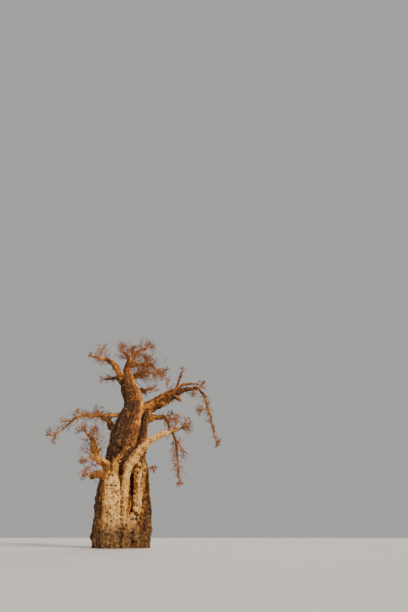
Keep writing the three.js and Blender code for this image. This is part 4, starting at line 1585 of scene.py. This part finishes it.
class LimbTwigs:
    """The short twigs that stand on one bough between its root and its tip."""

    # They stand this far apart in metres and clear of other limbs' radius by this share
    SPACING = 0.05
    LIMB_SWELL = 1.05
    LONG = (0.35, 0.65)
    # Their root's radius for the bough's, and at most in metres
    THICK, THICK_MOST = 0.32, 0.023
    LEVELS = (
        Level(reach=(0.40, 0.80), most=0.50, first=0.15, joints=5, sides=4, least=0.0100),
        Level(reach=(0.40, 0.75), most=0.26, first=0.20, joints=4, sides=3, least=0.0072),
    )

    def __init__(
        self, name: str, tree: Tree, samples: tuple[Array, Array], box: Array,
    ) -> None:
        """Prepares the twigs of a bough.

        Args:
            name: the bough.
            tree: the tree with its limb lines.
            samples: points and radii along the limbs.
            box: the lowest and highest corners that the twigs stay between.
        """
        self.name, self.bough, self.line = name, BOUGHS[name], tree.boughs[name]
        self.draw = np.random.default_rng(104729 + 13 * tree.codes[name])
        self.limb_at, self.limb_radius = samples
        self.box = box

    def fits(self, points: Array) -> Array:
        """Whether every point of each twig is in the box and off the limbs."""
        flat = points.reshape(-1, 3)
        good = np.ones(len(flat), dtype=bool)
        for at, radius in zip(self.limb_at, self.limb_radius):
            good &= np.linalg.norm(flat - at, axis=1) > radius * self.LIMB_SWELL
        good &= inside(flat, *self.box)
        return good.reshape(points.shape[:-1]).all(axis=1)

    def roots(self) -> Sprays:
        """The thick twigs, which stand on the bough at uneven steps."""
        number = self.draw.random
        first, last = self.bough.twigs_from, 0.98
        count = int(self.line.total * (last - first) / self.SPACING)
        sprays = Sprays()
        for i in range(count):
            share = first + (last - first) * (i + number()) / count
            lead, radius = self.line.lead(share), float(self.line.radius(share))
            aside = unit(np.cross(number(3) - 0.5, lead))
            aim = unit(aside + 0.55 * lead + np.array([0, 0, self.bough.twigs_rise]))
            length = self.bough.twigs_long * spread(self.LONG, number()) * (1.15 - 0.5 * share)
            length += radius
            root = self.line.at(share)
            thick = min(self.THICK * radius, self.THICK_MOST)
            off = unit(aside + 0.2 * lead)
            course = crooked(root, root + aim * length, off, 5, thick, number)
            if self.fits(course[None, 3:, :3])[0]:
                sprays.add(course, i)
        return sprays

    def build(self, finishes: list[Material]) -> Object | None:
        """Grows the bough's short twigs and joins them in one piece.

        Args:
            finishes: plain twig finishes, dealt out spray by spray.

        Returns:
            The finished piece, or None where the bough is bare.
        """
        sprays = self.roots()
        if not sprays.courses:
            return None
        twigs = [(np.stack(sprays.courses), 5, STOUT_FINISH)]
        twigs += sprays.finer(self.bough.twigs_each, self.LEVELS, self.draw, self.fits)
        return twig_piece(f"{self.name}_spur_twigs", twigs, finishes)


def twig_piece(name: str, twigs: Twigs, finishes: list[Material]) -> Object:
    """Joins twigs in one finished piece that rides with the tree.

    Args:
        name: the piece's name.
        twigs: groups of courses of one length, each with its number of sides and its finish.
        finishes: the twig finishes.

    Returns:
        The piece.
    """
    mesh = tube_mesh(name, twigs)
    for finish in finishes:
        mesh.materials.append(finish)
    piece = add_object(mesh.name, mesh)
    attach(piece, BODY)
    return piece


def tube_mesh(name: str, twigs: Twigs) -> Mesh:
    """Joins many pointed twigs in one mesh of closed shells.

    Args:
        name: the mesh's name.
        twigs: groups of courses of one length, each with its number of sides and its finish.

    Returns:
        The mesh.
    """
    verts, loops, sizes, finish = [], [], [], []
    first = 0
    for courses, sides, own_finish in twigs:
        number, joints = courses.shape[:2]
        points, radius = courses[..., :3], courses[..., 3]
        lead = unit(np.gradient(points, axis=1))
        whole = unit(points[:, -1] - points[:, 0])
        guide = np.eye(3)[np.argmin(np.abs(whole), axis=1)][:, None]
        side = unit(np.cross(lead, guide))
        other = np.cross(lead, side)
        turn = np.arange(sides) * 2 * math.pi / sides
        ring = (
            points[:, :-1, None] + radius[:, :-1, None, None] * (
                side[:, :-1, None] * np.cos(turn)[:, None] + other[:, :-1, None] * np.sin(turn)[:, None])
        )
        block = np.concatenate([ring.reshape(number, -1, 3), points[:, -1:]], axis=1)
        each = block.shape[1]
        verts.append(block.reshape(-1, 3))
        base = first + each * np.arange(number)[:, None, None]
        low = sides * np.arange(joints - 2)[:, None] + np.arange(sides)
        low_next = sides * np.arange(joints - 2)[:, None] + (np.arange(sides) + 1) % sides
        quads = np.stack([low, low_next, low_next + sides, low + sides], -1).reshape(-1, 4)
        last = sides * (joints - 2)
        tips = np.stack([last + np.arange(sides), last + (np.arange(sides) + 1) % sides,
                         np.full(sides, each - 1)], -1)
        cap = np.arange(sides)[::-1][None]
        for shape in (quads, tips, cap):
            placed = (base + shape[None]).reshape(-1, shape.shape[1])
            loops.append(placed.ravel())
            sizes.append(np.full(len(placed), shape.shape[1]))
            finish.append(np.full(len(placed), own_finish))
        first += each * number
    points = np.vstack(verts)
    corners, counts = np.concatenate(loops), np.concatenate(sizes)
    mesh = bpy.data.meshes.new(name)
    mesh.vertices.add(len(points))
    mesh.vertices.foreach_set("co", points.astype(np.float32).ravel())
    mesh.loops.add(len(corners))
    mesh.loops.foreach_set("vertex_index", corners.astype(np.int32))
    mesh.polygons.add(len(counts))
    starts = np.concatenate([[0], np.cumsum(counts)[:-1]])
    mesh.polygons.foreach_set("loop_start", starts.astype(np.int32))
    mesh.polygons.foreach_set("material_index", np.concatenate(finish).astype(np.int32))
    mesh.polygons.foreach_set("use_smooth", np.ones(len(counts), dtype=bool))
    mesh.update(calc_edges=True)
    mesh.validate()
    return mesh


def linear(code: str) -> tuple[float, float, float, float]:
    """An sRGB hex colour as linear red, green, blue and 1."""
    parts = [int(code[i:i + 2], 16) / 255 for i in (1, 3, 5)]
    return (*(c / 12.92 if c <= 0.04045 else ((c + 0.055) / 1.055) ** 2.4 for c in parts), 1.0)


def add_node(
    tree: NodeTree, kind: str, settings: dict[str, object] | None = None, out: str | int = 0,
    **inputs: object,
) -> Socket | None:
    """Adds one node with its settings, values and links.

    Args:
        tree: the material's node tree.
        kind: the node's Blender type without ShaderNode.
        settings: its properties by name.
        out: the output that is wanted, by name or number.
        inputs: a value or the output socket it is linked to, by the input's name with _ for a
            space, or by its number after an i.

    Returns:
        That output, or None where the node has none.
    """
    node = tree.nodes.new(f"ShaderNode{kind}")
    for key, value in (settings or {}).items():
        setattr(node, key, value)
    for key, value in inputs.items():
        place = int(key[1:]) if key[0] == "i" and key[1:].isdigit() else key.replace("_", " ")
        if isinstance(value, Socket):
            tree.links.new(value, node.inputs[place])
        else:
            node.inputs[place].default_value = value
    return node.outputs[out] if len(node.outputs) else None


def new_material(name: str) -> Material:
    """A material that has no nodes yet."""
    material = bpy.data.materials.new(name)
    material.use_nodes = True
    material.node_tree.nodes.clear()
    return material


def add_surface(tree: NodeTree, **inputs: object) -> None:
    """Ends a material with a surface that has these values and links."""
    add_node(tree, "OutputMaterial", Surface=add_node(tree, "BsdfPrincipled", **inputs))


@dataclass(frozen=True)
class BarkFinish:
    """Smooth thick baobab bark, dry and dusty, with patterns in real millimetres.

    To the eye it is cream where old skin is pale, coppery to umber where it is young or turned from the
    light, with dark pores and creases, earthy at the foot, and with painted shade, nearly black, in its
    hollows and pits and where limbs meet.
    """

    name: str = "baobab_bark"
    cream: str = "#ffc97c"
    tan: str = "#d08e40"
    copper: str = "#8b4e1d"
    umber: str = "#432511"
    earth: str = "#583b1d"
    # The painted shade in hollows, pits and creases between limbs
    crevice_shade: str = "#1e120b"
    blotch_mm: float = 420.0
    mottle_mm: float = 110.0
    fleck_mm: float = 30.0
    pore_mm: tuple[float, float] = (78.0, 118.0)
    streak_mm: tuple[float, float] = (70.0, 900.0)
    crease_mm: tuple[float, float] = (420.0, 40.0)
    roughness: tuple[float, float] = (0.72, 0.95)

    def build(self) -> Material:
        """Makes the bark's material from its patterns."""
        material = new_material(self.name)
        tree = material.node_tree
        place = add_node(tree, "TexCoord", out="Object")
        grain, tone, hollow, earth = (
            add_node(tree, "Attribute", {"attribute_name": name}, out=out)
            for name, out in (("grain", "Vector"), ("tone", "Fac"), ("hollow", "Fac"), ("earth", "Fac"))
        )
        blotch, mottle, fleck = (
            add_node(tree, "TexNoise", Vector=place, Scale=1000 / size, Detail=detail, Roughness=0.6)
            for size, detail in ((self.blotch_mm, 3.0), (self.mottle_mm, 4.0), (self.fleck_mm, 3.0))
        )
        streak, pore, crease = (
            add_node(tree, "TexNoise", Scale=1.0, Detail=detail, Roughness=rough, Vector=add_node(
                tree, "Mapping", Vector=grain, Scale=(1000 / wide, 1000 / wide, 1000 / tall)))
            for (wide, tall), detail, rough in (
                (self.streak_mm, 4.0, 0.65), (self.pore_mm, 3.0, 0.6), (self.crease_mm, 3.0, 0.6))
        )
        # Each takes a range of a pattern and stretches it to another: the grey of the skin, flecks,
        # pores, creases, how dark the painted shade in hollows is, how much paler proud places are and how
        # dull the dust is
        grey, speck, holes, lines, deep, proud, dust = (
            add_node(tree, "MapRange", Value=pattern, From_Min=low, From_Max=high, To_Min=start,
                     To_Max=end)
            for pattern, low, high, start, end in (
                (mottle, 0.3, 0.7, 0.54, 1.27), (fleck, 0.31, 0.45, 0.42, 1.0),
                (pore, 0.35, 0.46, 0.22, 1.0), (crease, 0.30, 0.40, 0.72, 1.0),
                (hollow, 0.12, 0.85, 0.0, 0.92), (hollow, -0.9, -0.1, 0.12, 0.0),
                (mottle, 0.3, 0.7, *self.roughness))
        )
        marks = speck
        for pattern in (holes, lines):
            marks = add_node(tree, "Math", {"operation": "MULTIPLY"}, i0=marks, i1=pattern)
        for pattern, amount in ((blotch, 0.72), (streak, 0.68)):
            tone = self.shift(tree, tone, pattern, amount)
        soil = add_node(tree, "Math", {"operation": "MULTIPLY"}, i1=0.95,
                        i0=self.shift(tree, earth, mottle, 0.9))
        colour = self.ramp(tree, tone)
        # In turn: earth, the skin's grey, the marks, painted shade in the hollows and paler proud places
        for way, share, over in (
            ("MIX", soil, linear(self.earth)), ("MULTIPLY", 1.0, grey), ("MULTIPLY", 1.0, marks),
            ("MIX", deep, linear(self.crevice_shade)), ("SCREEN", proud, linear(self.cream)),
        ):
            colour = add_node(tree, "Mix", {"data_type": "RGBA", "blend_type": way}, out=2,
                              i0=share, i6=colour, i7=over)
        height: Socket | float = 0.0
        for pattern, amount in ((streak, 0.6), (mottle, 0.5), (fleck, 0.35), (marks, 0.5)):
            height = add_node(tree, "Math", {"operation": "MULTIPLY_ADD"}, i0=pattern, i1=amount,
                              i2=height)
        bump = add_node(tree, "Bump", Height=height, Strength=0.8, Distance=0.024)
        add_surface(tree, Base_Color=colour, Roughness=dust, Normal=bump, Specular_IOR_Level=0.25)
        return material

    def ramp(self, tree: NodeTree, tone: Socket) -> Socket:
        """The bark's own colours from old pale skin to young dark skin, by tone."""
        colour = add_node(tree, "ValToRGB", Fac=tone)
        stops = colour.node.color_ramp.elements
        for stop, spot, code in ((stops[0], 0.05, self.cream), (stops[1], 0.98, self.umber)):
            stop.position, stop.color = spot, linear(code)
        for spot, code in ((0.36, self.tan), (0.68, self.copper)):
            stops.new(spot).color = linear(code)
        return colour

    @staticmethod
    def shift(tree: NodeTree, value: Socket, pattern: Socket, amount: float) -> Socket:
        """A value that a pattern moves up and down by an amount."""
        swing = add_node(tree, "MapRange", Value=pattern, From_Min=0.25, From_Max=0.75,
                         To_Min=-amount / 2, To_Max=amount / 2)
        return add_node(tree, "Math", {"operation": "ADD"}, i0=value, i1=swing)


@dataclass(frozen=True)
class TwigFinish:
    """Dry young twig bark in one plain colour, matt and a little lighter or darker from place to place."""

    name: str
    colour: str
    roughness: float = 0.8

    def build(self) -> Material:
        """Makes the plain twig material."""
        material = new_material(self.name)
        tree = material.node_tree
        uneven = add_node(tree, "TexNoise", Vector=add_node(tree, "TexCoord", out="Object"),
                          Scale=9.0, Detail=3.0)
        shade = add_node(tree, "MapRange", Value=uneven, From_Min=0.3, From_Max=0.7, To_Min=0.75,
                         To_Max=1.2)
        colour = add_node(tree, "Mix", {"data_type": "RGBA", "blend_type": "MULTIPLY"}, out=2,
                          i0=1.0, i6=linear(self.colour), i7=shade)
        add_surface(tree, Base_Color=colour, Roughness=self.roughness)
        return material


# To the eye: stout twigs in young golden-brown bark, fine ones in thin red-brown, ash-brown or
# dark bark, so that the sprays show apart
STOUT_FINISH = 0
TWIG_FINISHES = (
    TwigFinish("young_golden_bark", "#a9692f"),
    TwigFinish("red_brown_twig_bark", "#8e5231"),
    TwigFinish("ash_brown_twig_bark", "#aa7d51"),
    TwigFinish("dark_twig_bark", "#5f3d27"),
)


@dataclass(frozen=True)
class Studio:
    """The camera where the photograph was taken from, soft lights and a plain pale floor."""

    eye: tuple[float, float, float] = (0.0, -18.42, 0.417)
    pitch: float = 36.5
    heading: float = 11.81
    lens: float = 18.335
    sensor: float = 36.0

    # Each light's name, strength, width in degrees, the direction it stands in and its colour
    SUNS = (
        ("key", 4.1, 12, (0.66, -1.0, 0.62), "#fff0dc"),
        ("fill", 0.7, 60, (-1.0, -0.5, 0.5), "#f2f5ff"),
        ("rim", 1.0, 40, (0.2, 1.0, 0.7), "#ffffff"),
    )
    FLOOR_RADIUS = 150
    FAR_CLIP = 500

    def build(self) -> None:
        """Sets the camera, the lights, the surroundings and the floor."""
        scene = bpy.context.scene
        data = bpy.data.cameras.new("camera")
        data.lens, data.sensor_width, data.sensor_fit = self.lens, self.sensor, "AUTO"
        data.clip_end = self.FAR_CLIP
        camera = add_object("camera", data)
        camera.location = self.eye
        camera.rotation_euler = (math.radians(90 + self.pitch), 0, math.radians(-self.heading))
        scene.camera = camera
        for name, strength, spread, towards, code in self.SUNS:
            light = bpy.data.lights.new(name, "SUN")
            light.energy, light.angle, light.color = strength, math.radians(spread), linear(code)[:3]
            lamp = add_object(name, light)
            lamp.rotation_euler = Vector(towards).to_track_quat("Z", "Y").to_euler()
        world = bpy.data.worlds.new("studio")
        world.use_nodes = True
        back = world.node_tree.nodes["Background"]
        back.inputs["Color"].default_value = linear("#e3e2e0")
        back.inputs["Strength"].default_value = 0.55
        scene.world = world
        self.floor()

    def floor(self) -> None:
        """Lays the pale floor, which isn't part of the tree."""
        bm = bmesh.new()
        bmesh.ops.create_circle(bm, cap_ends=True, segments=96, radius=self.FLOOR_RADIUS)
        mesh = bpy.data.meshes.new("floor")
        bm.to_mesh(mesh)
        bm.free()
        floor = add_object("floor", mesh)
        # To the eye: a plain matt floor that shows where the tree stands
        material = new_material("studio_floor")
        add_surface(material.node_tree, Base_Color=linear("#cfcdc8"), Roughness=0.9)
        mesh.materials.append(material)
        floor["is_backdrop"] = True


def report(piece: Object) -> None:
    """Logs a finished piece and how many triangles it has."""
    mesh = piece.data
    mesh.calc_loop_triangles()
    log.info("%s %d triangles", piece.name, len(mesh.loop_triangles))


def main() -> None:
    """Builds the studio, the bark and the twigs in order."""
    logging.basicConfig(level=logging.INFO, format="%(message)s")
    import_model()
    cad_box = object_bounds()
    Studio().build()
    tree = Tree()
    bark = BarkFinish().build()
    for skin in (tree.trunk_skin(), tree.leader_skin(), *tree.bough_skins()):
        report(skin.build(bark))
    finishes = [finish.build() for finish in TWIG_FINISHES]
    rooms = {name: TwigRoom(mass, tree) for name, mass in MASSES.items()}
    samples = tree.limb_samples()
    low, high = (np.array(corner) for corner in cad_box)
    box = np.array([low, high]) + np.outer([-1, 1], high - low) * BOX_SLACK
    for index, name in enumerate(MASSES):
        report(TwigMass(name, index, rooms, samples, box).build(finishes))
    for name in BOUGHS:
        side_twigs = LimbTwigs(name, tree, samples, box).build(finishes)
        if side_twigs:
            report(side_twigs)
    boxes = {"cad": cad_box, "visual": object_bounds()}
    {key: [list(corner) for corner in box] for key, box in boxes.items()}


if __name__ == "__main__":
    main()
